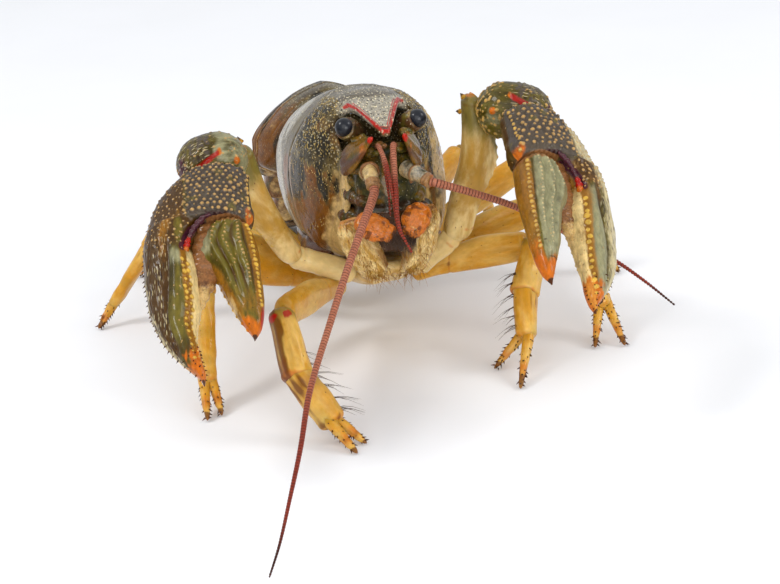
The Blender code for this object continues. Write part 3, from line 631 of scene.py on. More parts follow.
def cornea_finish():
    # Cornea: black and wet over thousands of fine facets, about 0.05 mm each, drawn twice as coarse to show
    made, tree, shader = blank("cornea_black_wet")
    place = add(tree, "ShaderNodeAttribute", out="Vector", attribute_name="place")
    facets = add(tree, "ShaderNodeTexVoronoi", {"Vector": place, "Scale": 10, "Randomness": 0.2})
    bump = add(tree, "ShaderNodeBump", {"Height": facets, "Strength": 0.15, "Distance": 0.02 * MM})
    sheen = add(tree, "ShaderNodeTexNoise", {"Vector": place, "Scale": 0.7, "Detail": 2.0})
    base = add(tree, "ShaderNodeMix", {FACTOR: sheen, UNDER: tone("eye_black"),
        OVER: (0.012, 0.014, 0.022, 1)}, out=MIXED, data_type="RGBA")
    feed(tree, shader, {"Base Color": base, "Normal": bump, "Roughness": 0.3, "Specular IOR Level": 0.2,
        "Coat Weight": 0.3, "Coat Roughness": 0.06})
    return made


# The way to the camera from which the animal is known, and what lies right and up from there
TO_VIEWER = Vector((-0.243, -0.908, 0.342))
FACING_RIGHT = Vector((0.966, -0.259, 0))
FACING_UP = Vector((0.088, 0.330, 0.940))

# --- Shell of head and chest --------------------------------------------------------------------------------

# Points round and along the skins that carry the finest detail
CARAPACE_GRID = (330, 290)
RING_GRID = (150, 70)
PALM_GRID = (270, 280)
FINGER_GRID = (170, 230)
# How many granules the shell has in front of its neck groove, and in the row low on its cheek
SHELL_GRAINS = 1250
CHEEK_GRAINS = 30

CARAPACE_LENGTH = 38.0
# The rostrum, which falls and turns a little to the animal's right, and the shell's edge beside it
ROSTRUM_LENGTH = 10.6
ROSTRUM_HALF_WIDTH = 3.9
ROSTRUM_FALL = 0.45
ROSTRUM_TURN = 0.042
EDGE_TURN_IN = 0.075
ROSTRUM_BEND = 1.2
SHELL_EDGE = 0.9
POCKET_DEPTH = 3.4
POCKET_INSET = 2.2
SHELL_JOINT = 8.0
# Half width and height of the shell over its length, as (behind the front margin, size)
SHELL_WIDTH = ((0, 6.7), (2.5, 9), (5, 10.7), (9, 11.9), (14, 12.3), (22, 12.7), (29, 12.1),
    (35, 10.2), (38, 9))
SHELL_TOP = ((0, 13.4), (5, 13.7), (10, 14), (16, 13.7), (24, 12.5), (31, 11), (38, 9.7))
SHELL_UNDER = ((0, 10.4), (4, 11.3), (12, 12.3), (30, 11.6), (38, 10))
# The neck groove: degrees down from the top of the back, then distance behind the front margin
NECK_GROOVE = ((0, 19), (12, 16.8), (25, 12.6), (35, 11.2), (51, 12.1), (67, 13.6), (86, 13.9),
    (105, 13.2), (123, 11.5), (140, 8.5), (165, 6))


def shell_section(y, turn, inset=0.0):
    """Points of the shell's outline y behind the front margin, squarer towards it; turn 0.25 is the top."""
    angle = 2 * math.pi * turn
    half = curve_through(SHELL_WIDTH, y) - inset
    side, rise = np.cos(angle), np.sin(angle)
    round_share = np.minimum(1, np.maximum(y, 0) / 12)
    flare = 1 - 0.14 * rise * (1 - round_share)
    above = rise >= 0
    x = (half * np.where(above, swell(side, 0.48 + 0.44 * round_share),
        flare * swell(side, 0.38 + 0.1 * round_share)))
    z = np.where(above, (curve_through(SHELL_TOP, y) - inset) * swell(rise, 0.92),
        (curve_through(SHELL_UNDER, y) - inset) * swell(rise, 0.95))
    return x, z


def margin(turn):
    """How far behind the front margin the shell's edge lies at this turn, leaving out the rostrum."""
    rise = np.sin(2 * math.pi * turn)
    eye_socket = 1.4 * hump(np.arccos(np.clip(rise, -1, 1)), 0.72, 0.27)
    return eye_socket - 2.2 * hump(rise, -0.05, 0.45) + 4.0 * np.maximum(0, -rise - 0.45) ** 1.2


def make_carapace():
    """The shell of head and chest, with its rostrum, granules and neck groove."""
    pocket_end, front_end = 0.1, 0.52

    def rostrum_fall(x, y):
        over = 1 - step(ROSTRUM_HALF_WIDTH, ROSTRUM_HALF_WIDTH + 1.2, np.abs(x))
        return -ROSTRUM_FALL * ROSTRUM_BEND * np.log1p(np.exp(-y / ROSTRUM_BEND)) * over

    def point(turn, way):
        turn = turn - 0.045 * np.sin(4 * math.pi * (turn - 0.25)) * ((turn > 0) & (turn < 0.5))
        x0, z0 = shell_section(np.zeros_like(turn), turn)
        beak = (np.sin(2 * math.pi * turn) > 0) & (np.abs(x0) < ROSTRUM_HALF_WIDTH)
        y0 = np.where(beak, -ROSTRUM_LENGTH * (1 - (np.abs(x0) / ROSTRUM_HALF_WIDTH) ** 1.15), margin(turn))
        share = np.clip((way - pocket_end) / (front_end - pocket_end), 0, 1)
        y = y0 + (SHELL_JOINT - y0) * share
        y = np.where(way > front_end,
            SHELL_JOINT + (CARAPACE_LENGTH - SHELL_JOINT) * (way - front_end) / (1 - front_end), y)
        x, z = shell_section(np.maximum(y, 0), turn)
        z = z + rostrum_fall(x, y)
        x = (x * (1 + EDGE_TURN_IN * np.minimum(y, 0) * (np.abs(x) > ROSTRUM_HALF_WIDTH))
            + ROSTRUM_TURN * np.minimum(y, 0))
        deep = np.clip(way / pocket_end, 0, 1)
        back = (1 - deep) ** 1.5
        thin = SHELL_EDGE * np.sqrt(np.clip(1 - deep**6, 0, 1))
        out = np.hypot(x, z)
        x1, z1 = shell_section(np.full_like(turn, POCKET_DEPTH), turn, POCKET_INSET)
        xe, ze = x - x / out * thin, z - z / out * thin
        inside = way < pocket_end
        return (np.where(inside, xe + (x1 - xe) * back, x),
            np.where(inside, y0 + (POCKET_DEPTH - y0) * back, y),
            np.where(inside, ze + (z1 - ze) * back, z))

    def relief(co, turn, way):
        x, y, z = co.T
        down = np.degrees(np.abs(np.arctan2(x, z)))
        outer = step(pocket_end - 0.01, pocket_end + 0.01, way)
        top = 1 - step(20, 34, down)
        rim_x = ROSTRUM_HALF_WIDTH * np.clip(1 + y / ROSTRUM_LENGTH, 0, 1) ** 0.87 + 0.3 * np.maximum(y, 0)
        from_rim = np.abs(x - ROSTRUM_TURN * np.minimum(y, 0)) - rim_x + 0.25
        kept = (1 - step(0.2, 2.2, y)) * (down < 50) * outer
        rim = hump(from_rim, 0, 0.27) * kept
        second = hump(from_rim, -0.62, 0.13) * kept * step(-10.2, -8.5, y)
        dish = ((1 - np.clip(np.abs(x) / np.maximum(rim_x, 0.1), 0, 1) ** 2) * step(-9.8, -7, y)
            * (1 - step(-2, 6, y)))
        to_groove = y - curve_through(NECK_GROOVE, down)
        groove = hump(to_groove, 0, 0.5) * outer
        from_edge = np.where(down > 26, y - margin(turn), 9)
        side = step(56, 70, down)
        lip = np.exp(-((np.maximum(from_edge, 0) / 0.45) ** 2)) * step(28, 38, down) * outer
        behind_lip = hump(from_edge, 2, 0.45) * side * outer
        tail_lip = hump(y, CARAPACE_LENGTH - 0.2, 0.5)
        tail_groove = hump(y, CARAPACE_LENGTH - 1.9, 0.4)
        gill_line = hump(np.abs(x), 2.6 + np.maximum(y - 22, 0) * 0.02, 0.35) * step(20, 23, y) * (z > 0)
        before = 1 - step(-1.5, 0.5, to_groove)
        random = np.random.default_rng(SEED)
        field = np.flatnonzero((down > 20) & (down < 105) & (before > 0.8) & (from_edge > 0.4)
            & (outer > 0.9))
        grains = [(*co[i], random.uniform(0.55, 1.25)) for i in random.choice(field, SHELL_GRAINS)
            if random.random() < 1 - step(50, 95, down[i]) * 0.85]
        row = np.flatnonzero((np.abs(down - 117 - 0.8 * y) < 2.5) & (y > 2.5) & (y < 9) & (outer > 0.9))
        grains += [(*co[i], 1.5) for i in random.choice(row, CHEEK_GRAINS)]
        grain_lift, gold = bumps(co, grains, 0.1, 0.1)
        lift = (0.4 * rim + 0.16 * second - 0.55 * dish * outer - 0.5 * groove
            + 0.3 * hump(to_groove, -2.2, 1.8) * outer + 0.25 * lip - 0.18 * behind_lip + 0.15 * tail_lip
            - 0.25 * tail_groove - 0.16 * gill_line + grain_lift
            + outer * (0.14 * noise(co, 7, 1) + 0.06 * noise(co, 2.4, 2) + 0.03 * noise(co, 0.8, 7)))
        blotch = noise(co, 3.2, 3) + 0.7 * noise(co, 1.2, 4)
        streak = 0.7 * noise(co * (1, 1, 0.35), 2.4, 6) + 0.4 * noise(co * (1, 1, 0.5), 0.9, 9)
        cheek = (1 - step(3, 6, to_groove)) * step(60, 78, down) * (1 - step(128, 150, down))
        # The band behind the neck groove is a painted highlight: the lamps' sheen on the shell, as pale grey
        # with pale dashes
        sheen_band = step(2.5, 7, to_groove) * (1 - step(13, 20, to_groove)) * step(8, 26, down)
        reddened = np.maximum(step(-0.5, -0.25, from_rim) * (from_rim < 0.9) * kept, second * 0.7)
        masks = {
            "red": reddened + 0.95 * (1 - step(0.5, 1.6, from_edge)) * hump(down, 60, 8),
            "groove": groove * 0.8 + behind_lip * 0.4 + 0.7 * hump(from_rim, 0.45, 0.2) * kept,
            "gold": gold,
            # Cream: the rims, the tail lip, and as its last term painted light on the left flank in front of
            # the neck groove, where the right lamp falls
            "cream": np.maximum.reduce([(1 - step(2, 4.6, from_edge + noise(co, 1.5, 10))) * side
                * (0.62 + 0.4 * streak), tail_lip * 0.7,
                0.9 * step(7.5, 9.5, x) * (0.7 + 0.5 * noise(co, 2, 8)) * before]),
            # Pale: the painted sheen of the band, painted light on the left flank behind the neck groove
            # where the right lamp falls, partly painted glare on the top of the rostrum, and pale grey just
            # before the groove and low on the cheek
            "pale": sheen_band * (0.7 + 0.5 * noise(co * (1, 1, 0.4), 1.6, 5)) * (1 - 0.7 * step(105, 150, down))
                + 0.4 * before * step(120, 140, down) + 0.55 * hump(to_groove, -1.3, 0.7) * step(20, 35, down)
                + 0.5 * step(7, 10, x) * (1 - before) + 0.65 * top * step(-9, -6, y) * (1 - step(1, 6, y)),
            "dark": before * hump(down, 46, 22) * hump(y, 4.5, 7) * (0.85 + 0.8 * blotch)
                + 0.85 * cheek * step(0.05, 0.5, -streak),
            "amber": cheek * (0.68 + 0.75 * streak) + 0.5 * before * hump(down, 40, 14),
            # Flecks put pale dashes on the top, partly painted glints, and over the band's painted sheen
            "flecks": top * (1 - reddened) * step(-10, -8, y) * (1 - 0.6 * step(0, 5, y))
                * (1 - step(15, 24, y)) + before * (1 - step(50, 75, down)) * 0.45 + 0.45 * sheen_band,
            "dots": 0.9 * before * step(30, 50, down) * (1 - step(80, 120, down)),
        }
        return lift, masks

    mesh = skin("carapace_skin", point, *CARAPACE_GRID, relief, BODY)
    wear([mesh], shell_finish(), ["carapace"])


# --- Face ---------------------------------------------------------------------------------------------------

# The head under the shell's front edge, in the same way
HEAD_WIDTH = ((-6, 4.2), (-3.5, 5), (0, 5.4), (3, 5.9))
HEAD_TOP = ((-6, 4.4), (-3, 6), (3, 6.4))
HEAD_UNDER = ((-6, 9.6), (-1.4, 10.3), (0.4, 8.9), (3, 7.3))
# Folded plates of the face in the body's frame: start, end, half width, half height, mask that colours it
FOLDS = (
    ((-5.6, 0, 4.6), (-3.2, -5.8, 3.4), 2.1, 1.4, "sage"),
    ((-5.2, 1.6, 2.4), (-3.2, -4.4, 0.8), 1.7, 1.2, "sage"),
    ((-5.2, 1, -0.2), (-3.2, -5.6, -1.8), 1.9, 1.2, "brown"),
    ((5.6, 0, 5), (3.4, -5.8, 3.6), 2.2, 1.5, "sage"),
    ((5.8, 1.4, 2.6), (4, -4.4, 0.6), 1.7, 1.2, "sage"),
    ((5.4, 1, -0.6), (3.6, -5.2, -2.2), 1.9, 1.2, "sage"),
    ((-2.6, -4.6, -3.2), (2.6, -4.8, -3.3), 1.3, 1.2, "brown"),
    ((-6.6, 2.2, -4), (-3.4, -3.8, -4.6), 1.8, 1.5, "brown"),
    ((7, 2, -4.2), (3.6, -4, -4.8), 1.9, 1.5, "brown"),
    ((-3.4, -4.4, 6), (-1.7, -8.2, 6), 1, 0.8, "sage"),
    ((3.2, -4.2, 6.2), (1.4, -8, 6.2), 1, 0.8, "sage"),
    ((-1.6, -4.4, 6.6), (-0.5, -8.4, 7), 0.8, 0.7, "pink"),
    ((-4.8, -4.2, 8), (-2.6, -7.2, 8.2), 1, 0.8, "sage"),
    ((4.6, -4.2, 8.2), (2.4, -7.2, 8.4), 1, 0.8, "sage"),
)


def make_face():
    """The head between the eyes and the mouth legs, with its folded plates."""
    front, length = HEAD_WIDTH[0][0], HEAD_WIDTH[-1][0] - HEAD_WIDTH[0][0]

    def point(turn, way):
        y = front + length * (1 - np.cos(0.5 * math.pi * way))
        share = rounded(y - front, length, 2.2, 0)
        angle = 2 * math.pi * turn
        x = curve_through(HEAD_WIDTH, y) * swell(np.cos(angle), 0.6) * share
        reach = np.where(np.sin(angle) > 0, curve_through(HEAD_TOP, y), curve_through(HEAD_UNDER, y))
        z = reach * swell(np.sin(angle), 0.75)
        return x, y, -2.0 + (z + 2) * share

    def relief(co, turn, way):
        x, y, z = co.T
        lumps = 0.35 * noise(co, 2.4, 11) + 0.12 * noise(co, 1, 12)
        ridge = hump(z, -3.6, 0.5)
        return lumps + 0.4 * ridge, {
            "sage": 0.25 + 0.5 * noise(co, 1.6, 13), "brown": step(-3.4, -5, z) * 0.95 + ridge * 0.7,
            "amber": 0.3 + 0.6 * noise(co, 1.3, 14), "flecks": 0.5,
            "dark": hump(z, -2.6, 0.8) * 0.8 + step(5.5, 7, z) * 0.8,
        }

    parts = [skin("head_skin", point, 100, 70, relief, BODY)]
    for start, end, half, high, tint in FOLDS:
        length = span(start, end)

        def crease(co, turn, way, tint=tint):
            waves = np.sin(co[:, 1] * 3.4 + 1.5 * noise(co, 2, 15))
            return 0.12 * waves + 0.15 * noise(co, 1.4, 16), {
                tint: 0.6 + 0.45 * noise(co, 1.2, 17) + 0.1 * waves, "dark": 0.4 * step(0.5, 1.2, -waves),
                "amber": 0.45 + 0.4 * noise(co, 0.9, 18), "flecks": 0.4}

        parts.append(limb("fold", length, ((0, half * 0.8), (length * 0.5, half), (length, half * 0.7)),
            ((0, high * 0.8), (length * 0.5, high), (length, high * 0.6)), 36, 30, (1.8, 1.6),
            relief=crease, placing=BODY @ lay(start, end, (0, -0.4, 1))))
    wear(parts, face_finish(), ["head"])


ANTENNAL_SCALE = {
    "right": ((-6.5, -3.6, 4.2), (-2.7, -10.2, 8.7)),
    "left": ((5.2, -4.4, 4.2), (2.1, -10, 8.6)),
}


def make_scales():
    """The flat plate outside the foot of each antenna, ending in a red point beside the rostrum."""
    for side, hand in SIDES:
        start, end = Vector(ANTENNAL_SCALE[side][0]), Vector(ANTENNAL_SCALE[side][1])
        length = span(start, end)

        def relief(co, turn, way, length=length):
            share = co[:, 1] / length
            keel = hump(co[:, 0], 0, 0.35) * (co[:, 2] > 0)
            return 0.14 * keel - 0.1 * hump(np.abs(co[:, 0]), 0.9, 0.3) + 0.05 * noise(co, 1.2, 21), {
                "amber": 0.6 + 0.5 * noise(co, 1.4, 26),
                "orange": 0.6 * hump(share, 0.72, 0.16) * step(-0.4, 0.4, noise(co, 1, 28)),
                "sage": 0.95 * hump(co[:, 0] * hand, 0.8, 1.3) * (0.8 + 0.5 * noise(co, 1.6, 27)),
                "red": 0.95 * step(0.86, 0.97, share + 0.06 * noise(co, 0.8, 24)),
                "brown": 0.9 * hump(share, 0.1, 0.2) + 0.3 * keel + 0.8 * hump(co[:, 0] * hand, -1.7, 0.7)}

        mesh = limb("scale_" + side, length, ((0, 2.2), (3, 2.9), (length * 0.7, 1.7), (length, 0.2)),
            ((0, 0.9), (length, 0.3)), 48, 50, (1, 0.6), relief=relief,
            placing=BODY @ lay(start, end, (-0.9, -0.6, 0.8) if hand < 0 else (0.3, -1, 0.7)))
        wear([mesh], face_finish(), ["antennal_scale_" + side])


def make_eyes():
    """The eyes on their stalks."""
    cornea = cornea_finish()
    for side, hand in SIDES:
        eye = Vector((5.7 * hand - 0.05, -4.2, 10))
        root = Vector((2.6 * hand, -1, 8))
        length = span(root, eye)

        def relief(co, turn, way, length=length):
            cup = hump(co[:, 1], length - 0.25, 0.2)
            patch = noise(co, 1, 22)
            return 0.1 * cup + 0.08 * patch, {
                "cream": cup * (0.45 + 0.4 * patch),
                "dark": 0.6 - 0.5 * step(0.3, 0.8, co[:, 1] / length) + 0.4 * patch,
                "sage": 0.5 + 0.3 * patch, "flecks": 0.9, "brown": 0.6 + 0.4 * noise(co, 0.7, 25)}

        stalk = limb("eyestalk_skin_" + side, length,
            ((0, 1.3), (2, 1.6), (length * 0.85, 1.78), (length, 1.45)),
            ((0, 1.2), (2, 1.6), (length * 0.85, 1.76), (length, 1.45)), 48, 40, (1, 0.3),
            relief=relief, placing=BODY @ lay(root, eye, (0, 0, 1)))
        wear([stalk], face_finish(), ["eyestalk_" + side])
        shape = bmesh.new()
        bmesh.ops.create_uvsphere(shape, u_segments=64, v_segments=40, radius=size("eye_radius") * MM)
        mesh = placed(finished(shape, "eye_skin_" + side), BODY @ Matrix.Translation(eye * MM))
        wear([mesh], cornea, ["eye_" + side])


# Where the antennae's feet, the antennae and the small feelers run, before the animal is set on the floor
ANTENNA_FOOT = {
    "right": ((-3.4, 7.2, 32.4), (-3.9, 3.8, 33.5), (-4.1, 1.2, 31.9)),
    "left": ((2.6, 7.3, 32.2), (3.8, 4.6, 31.8), (5, 2.3, 31.1)),
}
ANTENNA_ROUTE = {
    "right": ((-4.1, 1.2, 31.9), (-4.3, 0.3, 31.3), (-8.4, -6.1, 28), (-13, -13.2, 24.1),
        (-17.5, -20.5, 20.1), (-23.6, -31.1, 14.9), (-27.6, -40.2, 10.7), (-31.2, -47.8, 7.4),
        (-34.4, -54.5, 4.7), (-37.1, -59.5, 2.9)),
    "left": ((5, 2.3, 31.1), (5.9, 1.7, 30.9), (11.2, 1.3, 28.7), (18, 1.2, 25.4), (25, 1, 20.7),
        (33.6, -0.3, 14.5), (37.8, -1.6, 10.9), (42, -3.2, 6.8)),
}
ANTENNA_FOOT_TAPER = ((0, 1.35), (0.5, 1.15), (0.85, 0.95), (1, 0.85))
ANTENNA_TAPER = ((0, 0.66), (0.08, 0.58), (0.5, 0.42), (0.85, 0.22), (1, 0.1))
FEELER_ROUTE = {
    "right_outer": ((-1.2, 8.6, 35.4), (-1.9, 5, 36.9), (-2.1, 0.6, 35.2), (-2.5, -2.9, 32.2),
        (-2.9, -5.6, 29)),
    "right_inner": ((-0.5, 8, 33.8), (-1.4, 5.3, 35.3), (-1.8, 2.4, 33.4), (-2.2, 0, 30.6),
        (-2.6, -1.6, 28)),
    "left_outer": ((1.7, 8.6, 35.2), (0.2, 4.4, 36.9), (-0.9, 0.6, 34.9), (-1.8, -2.6, 32.3),
        (-2.9, -7.2, 28), (-2.1, -10.4, 24.8)),
    "left_inner": ((1.2, 8, 33.6), (0.1, 5.2, 35.2), (-0.9, 1.4, 33.4), (-1.8, -1.6, 30.2),
        (-2.4, -5, 26.8), (-1.4, -7, 24.4)),
}
# Half the thickness of each feeler at its foot
FEELER_HALF = {"right_outer": 0.34, "right_inner": 0.24, "left_outer": 0.44, "left_inner": 0.28}


def rings(length, spacing, height, tint):
    """A relief of rings along a whip, with dark joints between them; tint gives the other masks."""

    def relief(co, turn, way):
        phase = (way * length / spacing) % 1.0
        joint = hump(phase, 0, 0.16) + hump(phase, 1, 0.16)
        return height * (0.5 - joint), {"joint": joint, **tint(way)}

    return relief


def antenna_tint(way):
    """Where an antenna darkens and reddens."""
    return {"dark": step(0.75, 1, way) * 0.8, "red": step(0.2, 0.8, way) * 0.8}


def feeler_tint(way):
    """Where a small feeler darkens and reddens."""
    return {"red": 1.1 * step(0.25, 0.7, way), "dark": 0.6 * step(0.25, 0, way)}


def hood_relief(co, turn, way):
    """Creases of the brow over an antenna's foot."""
    return 0.1 * noise(co, 0.8, 29), {
        "pink": 0.9 + 0.3 * noise(co, 1, 30), "brown": 0.4 * step(0.2, 0.6, noise(co, 0.6, 31))}


def make_feelers():
    """The antennae, the feet that they stand on and the small feelers."""
    whips = whip_finish()
    for side, up in (("right", (1, 0, 0)), ("left", (0, 1, 0))):
        knots = ANTENNA_ROUTE[side]
        length = sum(span(a, b) for a, b in zip(knots, knots[1:]))
        mesh = whip("antenna_skin_" + side, knots, ANTENNA_TAPER, 14,
            int(length / size("antenna_ring") * 7), up,
            rings(length, size("antenna_ring"), 0.1, antenna_tint), STAND)
        wear([mesh], whips, ["antenna_" + side])

        def folds(co, turn, way):
            collar = hump(way, 0.42, 0.05) + hump(way, 0.86, 0.05) + hump(way, 0.97, 0.04)
            return 0.18 * collar + 0.14 * noise(co, 0.9, 23), {
                "pink": 0.9 * collar + 0.8 * step(0.8, 0.9, way), "cream": 0.62 + 0.4 * noise(co, 1.5, 24),
                "grey": 0.7 + 0.4 * noise(co, 1, 31), "dark": 0.5 * step(0.3, 0.8, noise(co, 0.8, 32)),
                "red": 0.6 * step(0.84, 0.95, way) * step(0, 0.4, noise(co, 0.7, 28))}

        foot = whip("antenna_foot_" + side, ANTENNA_FOOT[side], ANTENNA_FOOT_TAPER, 40, 60,
            up if side == "right" else (0, 0, 1), folds, STAND)
        hood = Vector(ANTENNA_FOOT[side][1]) + Vector((0, -0.1, -0.5 if side == "right" else -0.9))
        arch = [tuple(hood + FACING_RIGHT * ((1.1 + 0.55 * math.sin(t)) * math.cos(t))
            + FACING_UP * (1.75 * math.sin(t)) - TO_VIEWER * (0.6 * (1 - math.sin(t))))
            for t in np.linspace(-0.2, math.pi + 0.2, 9)]
        brow = whip("antenna_hood_" + side, arch, ((0, 0.25), (0.5, 0.36), (1, 0.25)), 20, 60,
            tuple(TO_VIEWER), hood_relief, STAND)
        wear([foot, brow], face_finish(), ["antenna_base_" + side])
    for name, knots in FEELER_ROUTE.items():
        length = sum(span(a, b) for a, b in zip(knots, knots[1:]))
        taper = [(share, FEELER_HALF[name] * part) for share, part in ((0, 1), (0.6, 0.8), (1, 0.25))]
        mesh = whip("antennule_skin_" + name, knots, taper, 12, int(length / size("feeler_ring") * 8),
            (1, 0, 0), rings(length, size("feeler_ring"), 0.12, feeler_tint), STAND)
        wear([mesh], whips, ["antennule_" + name])


# Of each mouth leg: foot and elbow of its plate, knee and tip of its palp
MOUTH = {
    "right": ((-3, -7.1, -13.2), (-7.4, -8, -3.4), (-6.5, -10.4, -3.4), (-1.1, -12.7, -6)),
    "left": ((1.7, -7.1, -13.2), (5.3, -8, -2.6), (3.9, -10.2, -2.2), (1, -12.5, -6.7)),
}
# Bristles of each mouth leg's plate and of its palp
PLATE_BRISTLES = 300
PALP_BRISTLES = 260


def make_mouth():
    """The third pair of mouth legs, folded over the jaws: a broad straw plate and an orange palp each."""
    random = np.random.default_rng(SEED + 1)
    dark, gold = [], []
    for side, hand in SIDES:
        foot, elbow, knee, tip = (Vector(place) for place in MOUTH[side])
        length = span(foot, elbow)

        def plate_relief(co, turn, way):
            keel = hump(co[:, 0] * hand, 0.9, 0.35) * (co[:, 2] > 0)
            return 0.25 * keel + 0.16 * noise(co, 2, 31) + 0.05 * np.sin(co[:, 1] * 5), {
                "cream": 0.75 * step(-0.2, 0.6, noise(co, 1.8, 32)), "orange": 0.6 * step(0.5, 1, way),
                "brown": 0.6 * hump(co[:, 0] * hand, -2.6, 1)
                    + 0.7 * step(0.35, 0.8, noise(co * (1, 0.5, 1), 0.8, 33)), "dots": 0.8}

        plate = limb("mouth_plate_skin_" + side, length, ((0, 1.9), (4, 2.8), (length, 2.4)),
            ((0, 1.3), (4, 1.4), (length, 1.3)), 60, 60, (1.8, 1.8), 0.6, relief=plate_relief,
            placing=BODY @ lay(foot, elbow, (0.6 * hand, -1, 0)))
        wear([plate], mouth_finish(), ["mouth_plate_" + side])
        length = span(knee, tip)

        def palp_relief(co, turn, way):
            collar = hump(way, 0.38, 0.03) + hump(way, 0.7, 0.03)
            veins = 1 - step(0, 0.14, np.abs(noise(co, 0.9, 35)))
            return 0.22 * noise(co, 1.3, 34) + 0.1 * noise(co, 0.6, 38) - 0.1 * collar - 0.06 * veins, {
                "orange": 0.95 + 0.4 * noise(co, 0.9, 36),
                "brown": 0.8 * step(0.7, 1.05, way) + 0.4 * collar + 0.5 * veins
                    + 0.8 * step(0.1, 0.6, noise(co, 0.7, 39)),
                "cream": 0.55 * step(0.3, 0.8, noise(co, 0.8, 37)), "dots": 0.7}

        palp = limb("mouth_palp_skin_" + side, length, ((0, 1.9), (3, 2.2), (length, 1.1)),
            ((0, 1.3), (3, 1.4), (length, 0.7)), 50, 60, (1.6, 0.9), 0.3, relief=palp_relief,
            placing=BODY @ lay(knee, tip, (0, -1, 0.4)))
        wear([palp], mouth_finish(), ["mouth_palp_" + side])
        for _ in range(PLATE_BRISTLES):
            share = random.uniform(0, 1)
            root = foot.lerp(elbow, share) + Vector((-hand * random.uniform(-1.6, 2), -1, 0))
            way = Vector((-hand * random.uniform(-0.9, 1.2), -0.9, random.uniform(-1, 0.35)))
            gold.append(curl(root, way, random.uniform(0.9, 2.6), (0, -0.1, -0.4), random))
        for _ in range(PALP_BRISTLES):
            share = random.uniform(0.4, 1)
            root = knee.lerp(tip, share) + Vector(random.uniform(-0.7, 0.7, 3))
            way = Vector((-hand * random.uniform(0, 0.8), -0.5, random.uniform(-1.4, 0.2)))
            dark.append(curl(root, way, random.uniform(1.2, 2.8), (0, 0, -0.4), random))
    wear([threads("mouth_bristles_gold", gold, size("bristle_thickness"), BODY)],
        bristle_finish("chitin_bristle_gold", "bristle_gold"))
    wear([threads("mouth_bristles_dark", dark, size("bristle_thickness") * 0.85, BODY)],
        bristle_finish("chitin_bristle_brown", "bristle_brown"))


def make_chest():
    """The underside that carries the legs and the mouth legs, and the soft skin between it and the shell."""
    length = 37.0
    width = ((0, 2.6), (7, 3.6), (12, 5), (24, 6.2), (37, 4.2))
    height = ((0, 1.1), (5, 1.5), (9, 2), (14, 2.6), (24, 2.6), (37, 1.9))

    def relief(co, turn, way):
        plates = hump((co[:, 1] / 6.2) % 1, 0.5, 0.1)
        keel = hump(co[:, 0], 0, 0.4) * (co[:, 2] < 0)
        return (-0.35 * plates - 0.3 * keel + 0.15 * noise(co, 2.5, 41),
            {"brown": 0.5 * plates, "orange": 0.2 * keel})

    mesh = limb("chest_skin", length, width, height, 80, 120, (1.2, 3), -2.3, relief=relief,
        placing=BODY @ lay((0, -4.6, -12.6), (0, 32.4, -13.4), (0, 0, 1)))
    wear([mesh], arm_finish(), ["chest"])

    def wrinkles(co, turn, way):
        waves = np.sin(co[:, 0] * 2.0 + 2.5 * noise(co, 3, 42)) * 0.16
        return waves + 0.2 * noise(co, 1.5, 43), {
            "dark": 0.3 + 0.6 * noise(co, 2.2, 44), "violet": 0.5 + 0.6 * noise(co, 1.4, 45), "brown": 0.9}

    parts = []
    for hand in (-1, 1):
        start, end = (8.4 * hand, 4.6, -10.6), (7.2 * hand, 34, -10.6)
        run = span(start, end)
        parts.append(limb("gill_skin", run, ((0, 1), (run * 0.3, 3.2), (run, 1.8)),
            ((0, 0.9), (run * 0.4, 2.4), (run, 1.2)), 50, 90, (4, 2), relief=wrinkles,
            placing=BODY @ lay(start, end, (0.5 * hand, 0, 1))))
    wear(parts, skin_finish())


# --- Abdomen and tail fan -----------------------------------------------------------------------------------

# The six rings: lengths and slopes in degrees; half widths and heights above and below the back at each end
SEGMENT_LENGTHS = (7, 7, 7, 6.6, 6.4, 7)
SEGMENT_SLOPES = (13, -8, -33, -54, -67, -60)
BACK_HEIGHT = 9.9
RING_WIDTH = (9.8, 10.8, 11, 10.6, 9.8, 8.8, 7.4)
RING_ABOVE = (8.2, 8.6, 8.6, 8.2, 7.6, 6.8, 5.6)
RING_BELOW = (6.6, 7.2, 7.4, 7, 6.4, 5.2, 3.6)
TAIL_FAN_LENGTH = 13.5
TAIL_FAN_SLOPE = math.radians(22.6)
TAIL_FAN_STEP = 1.15
TAIL_FAN_ROOT = 2.6
FRINGE_BRISTLES = 46
# Of each tail plate: distance from the middle, spread in degrees, half width, and how many plates lie over it
FAN_PLATES = {
    "telson": (0, 0, 3.6, 0),
    "tail_inner": (3.2, 22, 3.5, 1),
    "tail_outer": (4.2, 48, 3.9, 2),
}


def abdomen_line():
    """Where each segment's front edge stands on the back line, and its slope, seen from the side."""
    y, z = CARAPACE_LENGTH + 0.6, BACK_HEIGHT
    stands = [(y, z, math.radians(SEGMENT_SLOPES[0]))]
    for i, length in enumerate(SEGMENT_LENGTHS):
        slope = math.radians(SEGMENT_SLOPES[i])
        y, z = y + length * math.cos(slope), z + length * math.sin(slope)
        stands.append((y, z, (slope + math.radians(SEGMENT_SLOPES[min(i + 1, 5)])) / 2))
    return stands


